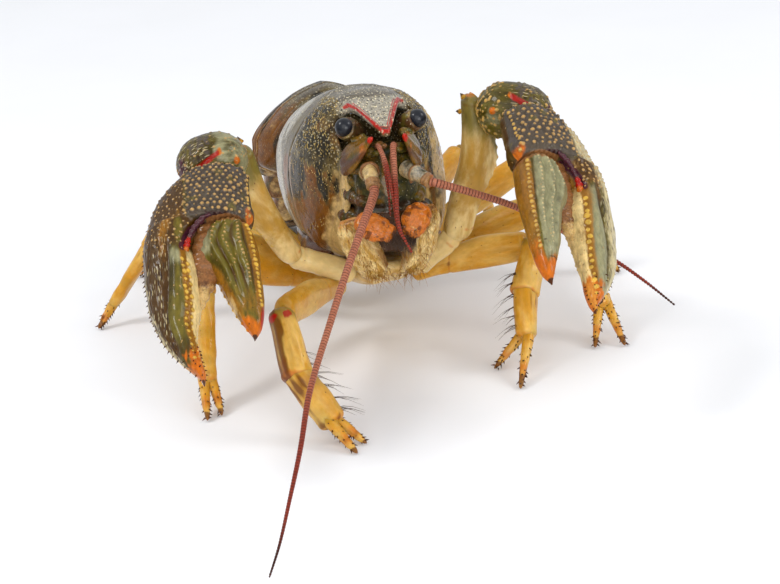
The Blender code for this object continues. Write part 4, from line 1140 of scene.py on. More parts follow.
def make_abdomen():
    """The six rings of the abdomen, each tucked under the one before it."""
    stands = abdomen_line()
    tuck = 0.22
    for i in range(len(SEGMENT_LENGTHS)):
        def point(turn, way, i=i):
            y0, z0, slope0 = stands[i]
            y1, z1, slope1 = stands[i + 1]
            share = -tuck + (1 + tuck - 0.01) * way
            held = np.clip(share, 0, 1)
            slope = slope0 + (slope1 - slope0) * held
            y, z = y0 + (y1 - y0) * share, z0 + (z1 - z0) * share
            hidden = 1 - 0.07 * step(0.03, -0.06, share)
            belly = (1 + 0.05 * np.sin(math.pi * held)) * hidden
            half = (RING_WIDTH[i] + (RING_WIDTH[i + 1] - RING_WIDTH[i]) * held) * belly
            above = RING_ABOVE[i] + (RING_ABOVE[i + 1] - RING_ABOVE[i]) * held
            below = RING_BELOW[i] + (RING_BELOW[i + 1] - RING_BELOW[i]) * held
            angle = 2 * math.pi * turn
            side, rise = np.cos(angle), np.sin(angle)
            x = (half * swell(side, np.where(rise > 0, 1.55, 0.6))
                * (1 + 0.24 * hump(rise, -0.25, 0.45) * held))
            up = np.where(rise > 0, above * swell(rise, 0.95) * belly,
                -below * np.abs(rise) ** 0.45 * (0.55 + 0.45 * np.minimum(1, np.abs(side) * 1.3) ** 2)
                * hidden)
            return x, y - (up - above) * np.sin(slope), z + (up - above) * np.cos(slope)

        def relief(co, turn, way, i=i):
            rise = np.sin(2 * math.pi * turn)
            share = -tuck + (1 + tuck) * way
            lip = hump(share, 0.97, 0.04) * step(-0.6, -0.2, rise)
            cross = hump(share, 0.3, 0.05) * step(0, 0.4, rise)
            belly = step(-0.25, -0.5, rise)
            lift = 0.16 * lip - 0.14 * cross + 0.12 * noise(co, 4, 50 + i) + 0.04 * noise(co, 1.6, 60 + i)
            spots = noise(co, 3.5, 70 + i)
            return lift, {
                "groove": 0.4 * cross,
                "cream": np.maximum(belly * (0.55 + 0.3 * noise(co, 1.6, 76)), lip * 0.5)
                    + 0.5 * hump(rise, 0.2, 0.35) * step(0.1, 0.7, -spots),
                "amber": np.maximum(hump(rise, 0.15, 0.6), belly) * (1.0 + 0.5 * noise(co, 2, 75)),
                "dark": step(0, 0.45, spots) * step(-0.1, 0.3, rise) + 0.5 * hump(share, 0.12, 0.1),
                "pale": 0.35 * step(0.6, 0.95, rise) * hump(share, 0.65, 0.3),
                "flecks": 0.35 * step(0.3, 0.8, rise), "dots": 0.3}

        mesh = skin(f"abdomen_skin_{i + 1}", point, *RING_GRID, relief, BODY)
        wear([mesh], shell_finish(), [f"abdomen_{i + 1}"])


def make_tail_fan():
    """The middle plate and the two broad plates each side of it, fringed with bristles."""
    y, z, slope = abdomen_line()[-1]
    body = (Matrix.Translation(BODY_ORIGIN) @ Matrix.Rotation(BODY_YAW, 4, "Z")
        @ Matrix.Rotation(BODY_PITCH, 4, "X"))
    hinge = body @ Vector((0, y + math.sin(slope) * RING_ABOVE[-1], z - math.cos(slope) * RING_ABOVE[-1]))
    across = body.to_3x3() @ Vector((1, 0, 0))
    rear = Matrix.Rotation(-TAIL_FAN_SLOPE, 3, across) @ Vector((-across.y, across.x, 0)).normalized()
    under = rear.cross(across)
    random = np.random.default_rng(SEED + 2)
    fringe = []
    length = TAIL_FAN_LENGTH + TAIL_FAN_ROOT
    axis = body.to_3x3() @ Vector((0, math.cos(slope), math.sin(slope)))
    ends = hinge - axis * 2.4, hinge + rear * 3.6 + under * 0.6
    run = span(*ends)

    def joint_relief(co, turn, way):
        waves = np.sin(co[:, 1] * 3.0 + noise(co, 2, 85))
        return 0.12 * waves + 0.15 * noise(co, 2, 86), {
            "amber": 0.7 + 0.5 * noise(co, 2, 87), "dark": 0.7 * step(0, 0.6, noise(co, 2.4, 88)),
            "flecks": 0.3, "dots": 0.3}

    joint = limb("tail_joint_skin", run, ((0, 6.4), (run * 0.6, 6.2), (run, 4.6)),
        ((0, 4.6), (run * 0.5, 3.7), (run, 1.5)), 90, 50, (1, 1.6), relief=joint_relief,
        placing=STAND @ lay(*ends, -under))
    wear([joint], shell_finish())
    for name, (aside, spread, half, layer) in FAN_PLATES.items():
        for hand, tail in ((0, ""),) if name == "telson" else ((-1, "_right"), (1, "_left")):
            turned = math.radians(spread) * hand
            way_out = rear * math.cos(turned) + across * math.sin(turned)
            start = (hinge + across * (aside * hand) + way_out * (1.3 - TAIL_FAN_ROOT)
                + under * (TAIL_FAN_STEP * layer))
            width = ((0, half * 0.6), (length * 0.35, half * 0.95), (length * 0.75, half),
                (length, half * 0.8))
            seam = length * 0.7

            def relief(co, turn, way, seam=seam, half=half):
                x, y, z = co.T
                keel = hump(x, 0, 0.35) * (z > 0) * (1 - step(seam, seam + 1, y))
                cut = hump(y, seam + 0.05 * x * x, 0.22) * (z > 0)
                rays = np.sin(x * 9.0 + 0.8 * noise(co, 2, 81)) * step(seam, length, y)
                return 0.2 * keel - 0.14 * cut + 0.035 * rays + 0.05 * noise(co, 3, 82), {
                    "groove": 0.7 * cut,
                    "cream": step(0.8, 1, np.abs(x) / half) * 0.7 + 0.4 * step(length - 2, length, y),
                    "amber": 0.5 + 0.5 * noise(co, 3, 83), "dark": 0.6 * step(0.2, 0.7, noise(co, 2.6, 84)),
                    "flecks": 0.3, "dots": 0.3}

            placing = lay(start, start + way_out * length, -under)
            mesh = limb(name + tail + "_skin", length, width, ((0, 0.5), (length, 0.36)), 90, 90, (1.2, 3.2),
                relief=relief, placing=STAND @ placing)
            wear([mesh], shell_finish(), [name + tail])
            for share in np.linspace(-1, 1, FRINGE_BRISTLES):
                angle = share * math.pi / 2
                edge = Vector((math.sin(angle) * half * 0.86, length - 3.1 + math.cos(angle) * 2.9, 0))
                lean = Vector((math.sin(angle) * 0.6, 1, 0)).normalized()
                root = placing @ (edge * MM) / MM
                aim = placing.to_3x3() @ lean
                fringe.append(curl(root, aim, random.uniform(1.2, 1.9), (0, 0, -0.05), random))
    for path in fringe:
        for place in path:
            place.z = max(place.z, 0.08)
    wear([threads("tail_fringe", fringe, size("bristle_thickness"), STAND)],
        bristle_finish("chitin_bristle_gold", "bristle_gold"))


# --- Claw arms ----------------------------------------------------------------------------------------------

# Of each arm: shoulder, elbow, top of the merus and both ends of the carpus
ARM = {
    "right": ((-4.3, 16.2, 13.3), (-14.4, 14.6, 18.3), (-21, 12.9, 37.2), (-21.2, 10, 37.4),
        (-32, 8.9, 36.3)),
    "left": ((5.7, 15.4, 13), (11.6, 12.6, 18.4), (14.8, 13.6, 40.2), (15.8, 10.7, 39.4),
        (26.2, 5.8, 37.4)),
}
# Of each merus: how far its middle line bows aside and its half widths, at MERUS_PLACES, and its half height
MERUS = {
    "right": ((0, -0.9, -1.8, -0.3), (1.9, 2.1, 2.5, 1.3), 3),
    "left": ((0, 1.2, 2.8, 0.6), (2.3, 2.4, 2.65, 0.8), 2.8),
}
MERUS_PLACES = (0, 0.3, 0.6, 1)
# Of each claw: wrist, end, roll in degrees, breadth of both fingers and length of the movable one
CLAW = {
    "right": ((-26.9, 3.8, 36.9), (-33.6, -26.7, 19.2), 0, 1, 1),
    "left": ((20.6, 3.2, 39.4), (15.8, -29.4, 20.9), 38, 0.93, 1.15),
}
# Outlines of the palm and the movable finger, in the claw's plane, as (along, outward)
CLAW_OUTER = ((0, 4.2), (2, 6), (5.3, 8.7), (9, 10.2), (13, 10.9), (18, 11.2), (24, 10.8),
    (28, 10.1), (31.7, 8.7), (34.5, 6.9), (37.5, 4.4), (39.5, 3.5))
CLAW_INNER = {
    "right": ((0, -3.9), (2, -4.3), (7, -4.5), (11.4, -3.9), (12, 1.4), (13.5, 2.9), (16, 3.9),
        (20, 3.4), (26, 3.5), (31, 4.1), (35, 3.7), (37.6, 3.2), (39.5, 3.4)),
    "left": ((0, -3.9), (2, -4.3), (7, -4.5), (11.4, -3.9), (12, 1.4), (13.5, 2.9), (16, 3.9),
        (20, 3.3), (26, 3.2), (31.7, 3.1), (36, 2.8), (39.5, 3.4)),
}
BEAD_ROW = {
    "right": ((12, 5.6), (20, 5), (25.5, 4.7), (30, 4.9), (34.4, 4.3), (38, 4)),
    "left": ((12, 5.4), (21.3, 4.7), (26.4, 4.3), (32.2, 3.8), (38, 3.7)),
}
CORD = ((11.6, 1), (12.2, 2.1), (13.3, 3.3), (14.8, 4.2), (16.2, 4.7), (17.4, 4.9))
CLAW_THICK = ((0, 2.9), (3, 3.8), (10, 4.3), (16, 4), (24, 3.1), (32, 2.1), (39.5, 0.6))
FINGER_OUTER = ((11, 0.9), (13, 2.4), (15.5, 3.7), (17.5, 3.3), (20.4, 1.3), (24.2, 0), (28, -1.5),
    (31, -3), (32.8, -3.7))
FINGER_INNER = ((11, -3.6), (13, -4.4), (17, -5.2), (24, -5.4), (28, -5.3), (31, -4.7), (32.8, -3.8))
FINGER_THICK = ((11, 3.2), (14, 3.2), (22, 2.5), (28, 1.7), (32.8, 0.4))
PALM_STATIONS = (0, 0.6, 2, 4.5, 7, 9.5, 11.4, 12, 13.5, 15.5, 20, 25, 29, 32, 34.5, 37, 38.8, 39.5)
FINGER_STATIONS = (11, 11.4, 13, 15, 17.5, 21, 25, 28.5, 31, 32.3, 32.8)


def claw_back(side):
    """The direction that the claw's upper face looks in."""
    wrist, end, roll = CLAW[side][:3]
    way = (Vector(end) - Vector(wrist)).normalized()
    face = (TO_VIEWER - way * TO_VIEWER.dot(way)).normalized()
    outward = way.cross(face).normalized() * (1 if side == "right" else -1)
    return face * math.cos(math.radians(roll)) + outward * math.sin(math.radians(roll))


def outline_piece(name, outer, inner, thick, breadth, around, along, stations, stretch, ends, relief,
        placing):
    """A skin between two outlines in the claw's plane, rounded through its thickness."""
    first, last = outer[0][0], outer[-1][0]

    def point(turn, way):
        y = np.interp(way, np.linspace(0, 1, len(stations)), stations)
        share = rounded(y - first, last - first, *ends)
        high, low = curve_through(outer, y), curve_through(inner, y)
        angle = 2 * math.pi * turn
        x = (high + low) / 2 + (high - low) / 2 * swell(np.cos(angle), 0.9) * share
        drawn = first + (y - first) * stretch
        return x * breadth, drawn, curve_through(thick, y) * swell(np.sin(angle), 0.9) * share

    return skin(name, point, around, along, relief, placing)


def studded(random, along_range, across_range, spacing, jitter, face=1):
    """Centres of granules in staggered rows over a part of the claw's plane, with a size for each."""
    spots = []
    for row, a in enumerate(np.arange(*along_range, spacing * 0.87)):
        for s in np.arange(across_range[0] + (row % 2) * spacing / 2, across_range[1], spacing):
            push = random.uniform(-jitter, jitter, 2)
            spots.append((s + push[0], a + push[1], face, random.uniform(0.7, 1.25)))
    return spots


def on_surface(co, breadth, spots):
    """Moves spots given in the claw's plane onto its nearer point, on the face that each names."""
    found = []
    for s, a, face, scale in spots:
        near = (co[:, 0] - s * breadth) ** 2 + (co[:, 1] - a) ** 2 + 4.0 * (co[:, 2] * face < 0)
        i = int(np.argmin(near))
        if near[i] < 0.4:
            found.append((*co[i], scale))
    return found


def palm_relief(side, breadth):
    """What is raised on the palm and its fixed finger, and what colours them."""
    light = 1.0 if side == "left" else 0.0

    def relief(co, turn, way):
        random = np.random.default_rng(SEED + 3)
        a, s, top = co[:, 1], co[:, 0] / breadth, co[:, 2] > 0
        low, high = curve_through(CLAW_INNER[side], a), curve_through(CLAW_OUTER, a)
        outer_share = (s - low) / (high - low)
        spacing = size("granule_spacing") + 0.14 * light
        big = on_surface(co, breadth, studded(random, (1, 11.3), (-3.9, 4.6), spacing, 0.14 + 0.12 * light))
        small = on_surface(co, breadth, studded(random, (1.5, 17), (4.6, 10.8), 0.95, 0.35))
        under = on_surface(co, breadth, studded(random, (1.5, 30), (-3.5, 10.8), 1.3, 0.5, -1))
        teeth = on_surface(co, breadth, [(-4.2, a0, 1, random.uniform(0.7, 1.1))
            for a0 in np.arange(0.8, 11.3, 0.9)])
        row = np.arange(19.2, 36.5, 0.55 + 0.6 * light)
        beads = on_surface(co, breadth, [
            (s0 + (random.uniform(-0.1, 0.1) + 0.32 * (-1) ** k) * (1 - 0.8 * light), a0, 1,
                random.uniform(0.7, 1.1) - 0.35 * step(24, 38, a0))
            for k, (a0, s0) in enumerate(zip(row, curve_through(BEAD_ROW[side], row)))])
        lift_big, big_on = bumps(co, big, 0.32 + 0.03 * light, size("granule_height"))
        # Painted shade: a dark ring round each big granule
        ring = bumps(co, big, 0.54, 1)[1] - big_on
        lift_small, small_on = bumps(co, small, 0.19 + 0.05 * light, 0.15)
        lift_under, under_on = bumps(co, under, 0.22, 0.14)
        lift_teeth, teeth_on = bumps(co, teeth, 0.36, 0.4)
        lift_beads, beads_on = bumps(co, beads, 0.34 + 0.14 * light, 0.3)
        finger = step(14, 19, a)
        bead_s = curve_through(BEAD_ROW[side], a)
        valley_s = bead_s + 2.0 + 1.0 * hump(a, 27, 6)
        bead_ground = hump(s, bead_s, 0.75) * finger * top * (1 - step(33, 37, a))
        ridge_zone = (step(bead_s + 0.1, bead_s + 0.6, s) * (1 - step(valley_s - 0.4, valley_s + 0.3, s))
            * finger * top)
        ridge = hump(s, (bead_s + valley_s) / 2 + 0.1, 0.9) * finger * top * (1 - step(34, 38, a))
        valley = hump(s, valley_s, 0.4) * finger * top * (1 - step(31, 36, a))
        shelf = hump(a, 11.75, 0.4) * step(-4.9, -4.2, s) * (1 - step(1.4, 2.2, s))
        line = shelf * step(3.2, 3.7, co[:, 2])
        cord = (hump(s, np.interp(a, *zip(*CORD)) + 0.5, 0.55) * step(11.6, 12.4, a)
            * (1 - step(16.5, 18, a)) * top)
        hatch = (step(0.42, 0.6, outer_share) * step(10, 19, a) * top * (1 - ridge_zone)
            * (1 - step(33, 37, a)))
        slate = (1 - step(3.8, 5.4, s)) * (1 - step(11.3, 12.6, a)) * top
        cloud = noise(co * (1, 0.6, 1), 2.6, 104)
        fine = noise(co * (2.2, 0.45, 2.2), 0.6, 103)
        lift = (lift_big + lift_small + lift_under + lift_teeth + lift_beads + 0.45 * ridge - 0.3 * valley
            + 0.12 * noise(co, 3, 101) + 0.05 * noise(co, 1.1, 102) + 0.09 * hatch * fine - 0.25 * cord
            + 0.12 * shelf * np.sin(s * 8))
        flank = step(0.3, -0.3, s - bead_s) * finger * top
        late = step(28, 36, a)
        tip = step(32.5, 37, a + 1.2 * fine + 0.9 * cloud - 3.0 * (outer_share - 0.3))
        masks = {
            "gold": np.maximum.reduce([big_on * 0.82, small_on * 0.95, under_on * 0.7, teeth_on * 1.2]),
            "bead": beads_on * 1.3 + 0.6 * teeth_on + light * 0.45 * flank * late,
            # Ring is painted shade round the big granules; it also darkens the valley and the shelf's line
            "ring": ring * 0.95 + 0.5 * valley + line, "slate": slate * (0.8 + 0.4 * cloud),
            "sage": slate * 0.55 * step(0.2, 0.8, noise(co, 1.8, 107))
                + (1 - light) * 0.8 * hump(s, 5.6, 0.9) * hump(a, 14, 4) * top,
            "brown": (1 - slate) * (1 - 0.9 * ridge_zone) * (0.95 - 0.2 * light + 0.35 * cloud)
                * (1 - light * 0.6 * hatch) + 0.5 * ridge_zone * step(0, 0.5, cloud) * late,
            "teal": ridge_zone * (light + (1 - light) * 0.8 * hump(a, 18.5, 2.6)) * (0.85 + 0.3 * cloud),
            "pale": light * (0.3 + 0.75 * step(0.46, 0.86, outer_share)) * (1 - slate)
                * (0.85 + 0.5 * cloud) * (1 - ridge_zone)
                + (1 - light) * (0.55 + 0.4 * fine) * step(0.86, 1, outer_share) * step(16, 22, a),
            "violet": line + cord * 1.1, "pink": shelf * (1 - line),
            "amber": flank * (0.7 + 0.7 * cloud) * light + bead_ground
                + (1 - slate) * top * (0.6 + 0.7 * cloud)
                * (hump(outer_share, 0.62, 0.16) * hump(a, 15, 7) * (1 - light)
                + 0.6 * light * hump(a, 17, 8)),
            "cream": np.maximum((1 - top) * 0.7 * step(12, 17, a),
                flank * (1 - beads_on) * (0.72 + 0.35 * cloud) * step(0.1, -0.6, s - bead_s)),
            "tip": tip + 0.8 * hump(a, 11.2, 1.5) * step(-3.2, -4.1, s) * top
                + 0.5 * teeth_on * step(5, 11, a),
            "dark": step(38.4, 39.1, a) * 0.9 + light * flank * 0.6 * step(0.55, 0.7, noise(co, 0.5, 106)),
            "hatch": hatch * (0.76 + 0.04 * light), "lines": hatch,
            "dots": 0.8 * (1 - slate) * (1 - 0.8 * hatch) * (1 - tip),
        }
        return lift, masks

    return relief


def finger_relief(side, breadth, stretch):
    """What is raised on the movable finger, and what colours it."""
    first, last = FINGER_OUTER[0][0], FINGER_OUTER[-1][0]
    light = 1.0 if side == "left" else 0.0

    def relief(co, turn, way):
        a = first + (co[:, 1] - first) / stretch
        s, top = co[:, 0] / breadth, co[:, 2] > 0
        low, high = curve_through(FINGER_INNER, a), curve_through(FINGER_OUTER, a)
        share = (s - low) / np.maximum(high - low, 0.3)
        random = np.random.default_rng(SEED + 6)

        def row(at, start, end, spacing, grow):
            found = []
            for a0 in np.arange(start, end, spacing):
                s0 = curve_through(FINGER_INNER, a0) * (1 - at) + curve_through(FINGER_OUTER, a0) * at
                near = (co[:, 0] - s0 * breadth) ** 2 + (a - a0) ** 2 + 4.0 * (~top)
                found.append((*co[int(np.argmin(near))], grow * random.uniform(0.7, 1.15)))
            return found

        lift_edge, edge_on = bumps(co, row(0.08, 13, 27.5, 0.8, 1), 0.36, 0.3)
        lift_rows, rows_on = bumps(co, row(0.27, 12.6, 24, 0.7, 1)
            + row(0.5, 12.8, 21.0 + 6.0 * light, 0.7, 0.9)
            + row(0.7, 13, 17, 0.7, 0.8), 0.21 + 0.05 * light, 0.16)
        bite = [(*co[int(np.argmin((share - 0.98) ** 2 * 4 + (a - a0) ** 2 + 0.2 * np.abs(co[:, 2])))], 0.8)
            for a0 in np.arange(19, 31, 1.3)]
        lift_bite, bite_on = bumps(co, bite, 0.34, 0.24)
        sway = 0.04 * noise(co, 2.5, 113)
        early = (1 - step(20, 28, a)) * step(11.8, 13.5, a)
        ribs = sum(hump(share + sway, at, 0.07) for at in (0.27, 0.5, 0.7)) * early
        hollows = sum(hump(share + sway, at, 0.055) for at in (0.17, 0.385, 0.6)) * early
        base = hump(a, 12.2, 0.5)
        cloud = noise(co * (1, 0.5, 1), 2.2, 112)
        grain = noise(co * (1.4, 0.4, 1), 0.6, 114)
        tip = step(27, 31.5, a + 1.8 * (share - 0.5) + 1.2 * cloud)
        edge_side, web_side = step(0.26, 0.08, share), step(0.72, 0.95, share)
        bulge = step(0.6, 0.85, share) * hump(a, 15.5, 2.6)
        lift = (lift_edge + lift_rows + lift_bite + 0.34 * ribs * top - 0.32 * hollows * top
            + 0.12 * noise(co, 2.2, 111) + 0.04 * grain + 0.1 * base * np.sin(s * 8))
        return lift, {
            "sage": ribs * top * 0.7 * (1 - light) + (1 - light) * 0.55 * step(0, 0.6, cloud),
            "teal": light * (0.85 + 0.3 * cloud) * step(0.08, 0.24, share) * (1 - tip) + (1 - light) * bulge,
            "brown": 0.65 * hollows * (1 - 0.5 * light) + (0.45 + 0.6 * cloud) * step(17, 25, a)
                * (1 - 0.8 * light) * (1 - ribs)
                + light * 0.7 * step(0.22, 0.1, share) * (0.5 + 0.7 * cloud),
            "amber": (1 - light) * ((0.75 + 0.4 * cloud) * web_side * step(17, 21, a)
                + 0.55 * step(20, 28, a) * (1 - tip))
                + light * step(0.17, 0.08, share) * (0.95 + 0.5 * cloud)
                + (1 - light) * 0.8 * step(0.2, 0.1, share),
            "bead": np.maximum(edge_on * (1 - 0.4 * light), 0.6 * bite_on) * 1.1,
            "gold": (1.1 - 0.5 * light) * rows_on + light * edge_on, "pale": 0.8 * light * rows_on,
            "ring": 0.35 * hollows * step(0, 0.4, grain) + 0.7 * step(0.66, 0.82, noise(co, 0.7, 115))
                * step(20, 26, a),
            "tip": tip + (0.2 + 0.3 * light) * edge_side * step(21, 28, a), "dark": step(31.6, 32.3, a),
            "pink": base * 0.8, "cream": 0.5 * web_side * step(22, 26, a) * (1 - tip)
                + 0.6 * (~top) * (1 - tip) * (1 - step(0.7, 0.4, share)),
            "dots": 0.6 * step(13, 17, a) * (1 - tip),
            "red": 0.8 * hump(a, 29, 2.6) * step(0.18, 0.02, share) * (1 - 0.5 * light)}

    return relief


def claw_spines(side, co, normals, breadth, random):
    """Small dark spines along the outer margin and on the tips of a palm, from its own points."""
    a, s = co[:, 1], co[:, 0] / breadth
    spots = []
    for a0 in np.arange(8, 39, 0.95):
        i = int(np.argmin((a - a0) ** 2 + (s - curve_through(CLAW_OUTER, a0)) ** 2 + 0.3 * co[:, 2] ** 2))
        spots.append((co[i], normals[i] + (0, 0.8, 0), random.uniform(0.3, 0.55), 0.14))
    for a0 in np.arange(34.5, 39, 0.8):
        i = int(np.argmin((a - a0) ** 2 + (s - curve_through(CLAW_INNER[side], a0)) ** 2
            + 0.3 * co[:, 2] ** 2))
        spots.append((co[i], normals[i] + (0, 0.5, 0), random.uniform(0.3, 0.45), 0.13))
    for a0, s0 in random.uniform((33, 3.2), (38.5, 6.5), (16, 2)):
        i = int(np.argmin((a - a0) ** 2 + (s - s0) ** 2 + 4.0 * (co[:, 2] < 0)))
        spots.append((co[i], normals[i] + (0, 0.6, 0), random.uniform(0.25, 0.4), 0.12))
    return spots


def make_claw_arms():
    """Both claw arms, from the shoulder to the tips of the fingers."""
    random = np.random.default_rng(SEED + 4)
    for side, hand in SIDES:
        shoulder, elbow, top, near_end, far_end = ARM[side]
        bows, halves, deep = MERUS[side]
        run = shortened(shoulder, elbow, 0, -0.7)
        length = span(*run)

        def ischium_relief(co, turn, way, length=length):
            ring = hump(co[:, 1], length - 2.2, 0.3)
            return -0.12 * ring + 0.12 * noise(co, 2.2, 121), {
                "cream": 0.9, "orange": 0.5 * hump(co[:, 1], length - 1.9, 0.5)
                    * step(-0.2, 0.4, noise(co, 1.4, 126) + 0.2), "dots": 0.7, "brown": 0.3 * ring}

        mesh = limb("claw_ischium_skin_" + side, length, ((0, 1.6), (length * 0.6, 1.75), (length, 1.8)),
            ((0, 1.6), (length * 0.6, 1.75), (length, 1.8)), 60, 60, (1, 2.2), 0.3, relief=ischium_relief,
            placing=STAND @ lay(*run, (0, -1, 1)))
        wear([mesh], arm_finish(), ["claw_ischium_" + side])

        run = shortened(elbow, top, -0.9, -0.6)
        length = span(*run)
        places = [length * share for share in MERUS_PLACES]

        def merus_relief(co, turn, way, length=length):
            x, y, z = co.T
            share = y / length
            edge = hump(np.sin(2 * math.pi * turn), 0.55, 0.25) * (np.cos(2 * math.pi * turn) * hand > 0)
            dots = [(*co[int(np.argmin((y - y0) ** 2 + 6 * (1 - edge)))], 0.9)
                for y0 in np.arange(5, length - 1.5, 1.5)]
            lift_dots, dots_on = bumps(co, dots, 0.36, 0.26)
            return lift_dots + 0.3 * edge * step(0.2, 0.5, share) + 0.16 * noise(co, 3.5, 122), {
                "green": 0.9 * step(0.5, 0.95, share) * (z > -1) + 0.5 * edge * step(0.4, 0.7, share),
                "gold": dots_on, "orange": 0.6 * hump(share, 0.1, 0.02)
                    * step(-0.3, 0.4, noise(co, 1.2, 129)) + 0.6 * step(0.96, 1, share),
                "brown": 0.5 * hump(share, 0.93, 0.02) + 0.25 * hump(share, 0.1, 0.012), "dots": 0.8}

        mesh = limb("claw_merus_skin_" + side, length, list(zip(places, (*halves[:3], halves[3] + 0.4))),
            ((0, deep * 0.72), (length * 0.55, deep), (length, deep * 0.7)), 90, 140, (2.4, 1.6),
            shift=list(zip(places, bows)), relief=merus_relief, placing=STAND @ lay(*run, (0, -1, 0.2)))
        wear([mesh], arm_finish(), ["claw_merus_" + side])

        length = span(near_end, far_end)

        def carpus_relief(co, turn, way, length=length):
            x, y, z = co.T
            light = float(side == "left")
            near, far = x * hand, step(0.4, 0.62, y / length + 0.12 * noise(co, 2, 137))
            stud = [(*co[i], random.uniform(0.4, 1))
                for i in random.integers(len(co), size=260 + int(120 * light))
                if random.random() > 0.75 * far[i]]
            lift_stud, stud_on = bumps(co, stud, 0.26 + 0.12 * light, 0.16 + 0.1 * light)
            lift_knob, knob_on = bumps(co, [(3.5 * hand, 2.8, 1.7, 1)], 0.62, 0.5)
            around = np.degrees(np.arctan2(z, near)) - 45 - 12 * light + 5.4 * (y - 6.2)
            mark = hump(around, 0, 7 + 2 * light) * step(4.6, 5.4, y) * (1 - step(9.3, 10.3, y))
            ends = hump(around, 0, 9) * (hump(y, 5, 0.5) + hump(y, 8.8, 0.45))
            hatched = noise(co * (1, 2.4, 1), 0.7, 127)
            lift = (lift_stud + lift_knob - 0.35 * mark + 0.2 * ends + 0.12 * noise(co, 3, 123)
                + 0.05 * far * hatched)
            return lift, {
                "gold": stud_on * 1.2, "red": mark, "tip": knob_on * 1.3 + 0.9 * ends, "brown": 0.4 * far,
                "teal": (1 - far) * (0.75 - 0.45 * light + 0.45 * noise(co, 2.5, 125)),
                "slate": far * (0.45 + 0.5 * hatched), "ring": 0.7 * far * step(0, 0.6, -hatched),
                "violet": 0.9 * step(length - 2.2, length, y) * (near > 0),
                "bead": 0.6 * light * stud_on, "dots": 0.6 * (1 - mark),
                "hatch": 0.9 * far * (1 - mark) * (1 - ends)}

        mesh = limb("claw_carpus_skin_" + side, length, ((0, 3.8), (length * 0.5, 4.2), (length, 3.8)),
            ((0, 3.8), (length * 0.5, 4.3), (length, 3.6)), 110, 110, (4, 4), relief=carpus_relief,
            placing=STAND @ lay(near_end, far_end, (0, -0.3, 1)))
        wear([mesh], claw_finish(), ["claw_carpus_" + side])

        wrist, end, _, breadth, stretch = CLAW[side]
        breadth *= -hand
        placing = lay(wrist, end, claw_back(side))
        palm = outline_piece("claw_palm_skin_" + side, CLAW_OUTER, CLAW_INNER[side], CLAW_THICK, breadth,
            *PALM_GRID, PALM_STATIONS, 1, (2.2, 3), palm_relief(side, breadth), Matrix())
        spots = claw_spines(side, read(palm) / MM, read(palm, "normal"), breadth, random)
        palm.transform(STAND @ placing)
        wear([palm], claw_finish(), ["claw_palm_" + side])
        finger = outline_piece("claw_finger_skin_" + side, FINGER_OUTER, FINGER_INNER, FINGER_THICK, breadth,
            *FINGER_GRID, FINGER_STATIONS, stretch, (1.5, 2.5),
            finger_relief(side, breadth, stretch), STAND @ placing)
        wear([finger], claw_finish(), ["claw_finger_" + side])
        wear([spikes("claw_spines_" + side, spots, STAND @ placing)], foot_spine_finish())

        def hinge_relief(co, turn, way):
            waves = np.sin(co[:, 1] * 4.0 + noise(co, 1.5, 131))
            return 0.1 * waves + 0.12 * noise(co, 1.2, 132), {
                "pink": 0.8 + 0.35 * noise(co, 1.4, 133),
                "cream": 0.75 * step(0.45, 0.85, way + 0.1 * noise(co, 1, 134)),
                "brown": 0.75 * step(0.1, 0.7, noise(co, 1.3, 135)) * (1 - way)}

        def cord_relief(co, turn, way):
            folds = np.sin(co[:, 1] * 9 + noise(co, 1, 136))
            return 0.14 * noise(co, 1, 134) + 0.07 * folds, {
                "violet": 1.1 - 0.9 * step(0.55, 0.75, way), "red": 0.95 * step(0.6, 0.72, way),
                "tip": 0.9 * step(0.8, 0.95, way)}

        in_claw = [
            limb("claw_hinge_skin_" + side, 15.2,
                ((0, 1.3), (3, 2.1), (7, 2.3), (10, 2), (12.4, 1.1), (15.2, 0.3)),
                ((0, 1.7), (4, 1.9), (8, 1.4), (15.2, 0.6)), 60, 90, (1.5, 1.5), relief=hinge_relief,
                placing=lay((1.4 * breadth, 10.8, 0.9), (3.5 * breadth, 26, -0.4), (0, 0, 1))),
            whip("hinge_cord", [(s0 * breadth, a0, 3.9 - 0.25 * (a0 - 11.6)) for a0, s0 in CORD],
                ((0, 0.25), (0.3, 0.38), (0.62, 0.28), (0.84, 0.46), (1, 0.35)), 30, 90, (0, 0, 1),
                cord_relief, Matrix())]
        for mesh in in_claw:
            mesh.transform(STAND @ placing)
        wear(in_claw, skin_finish())

    knuckles = [((-21.4, 12.2, 38.6), (-0.5, -0.2, 1), 1.1, 0.5),
        ((14.2, 12.6, 40.6), (-0.6, -0.2, 0.8), 0.9, 0.5),
        ((13.4, 12.4, 38.4), (-1, -0.4, 0.3), 0.8, 0.45)]
    wear([spikes("arm_spines", knuckles, STAND, 20)], spine_finish())


# --- Walking legs -------------------------------------------------------------------------------------------

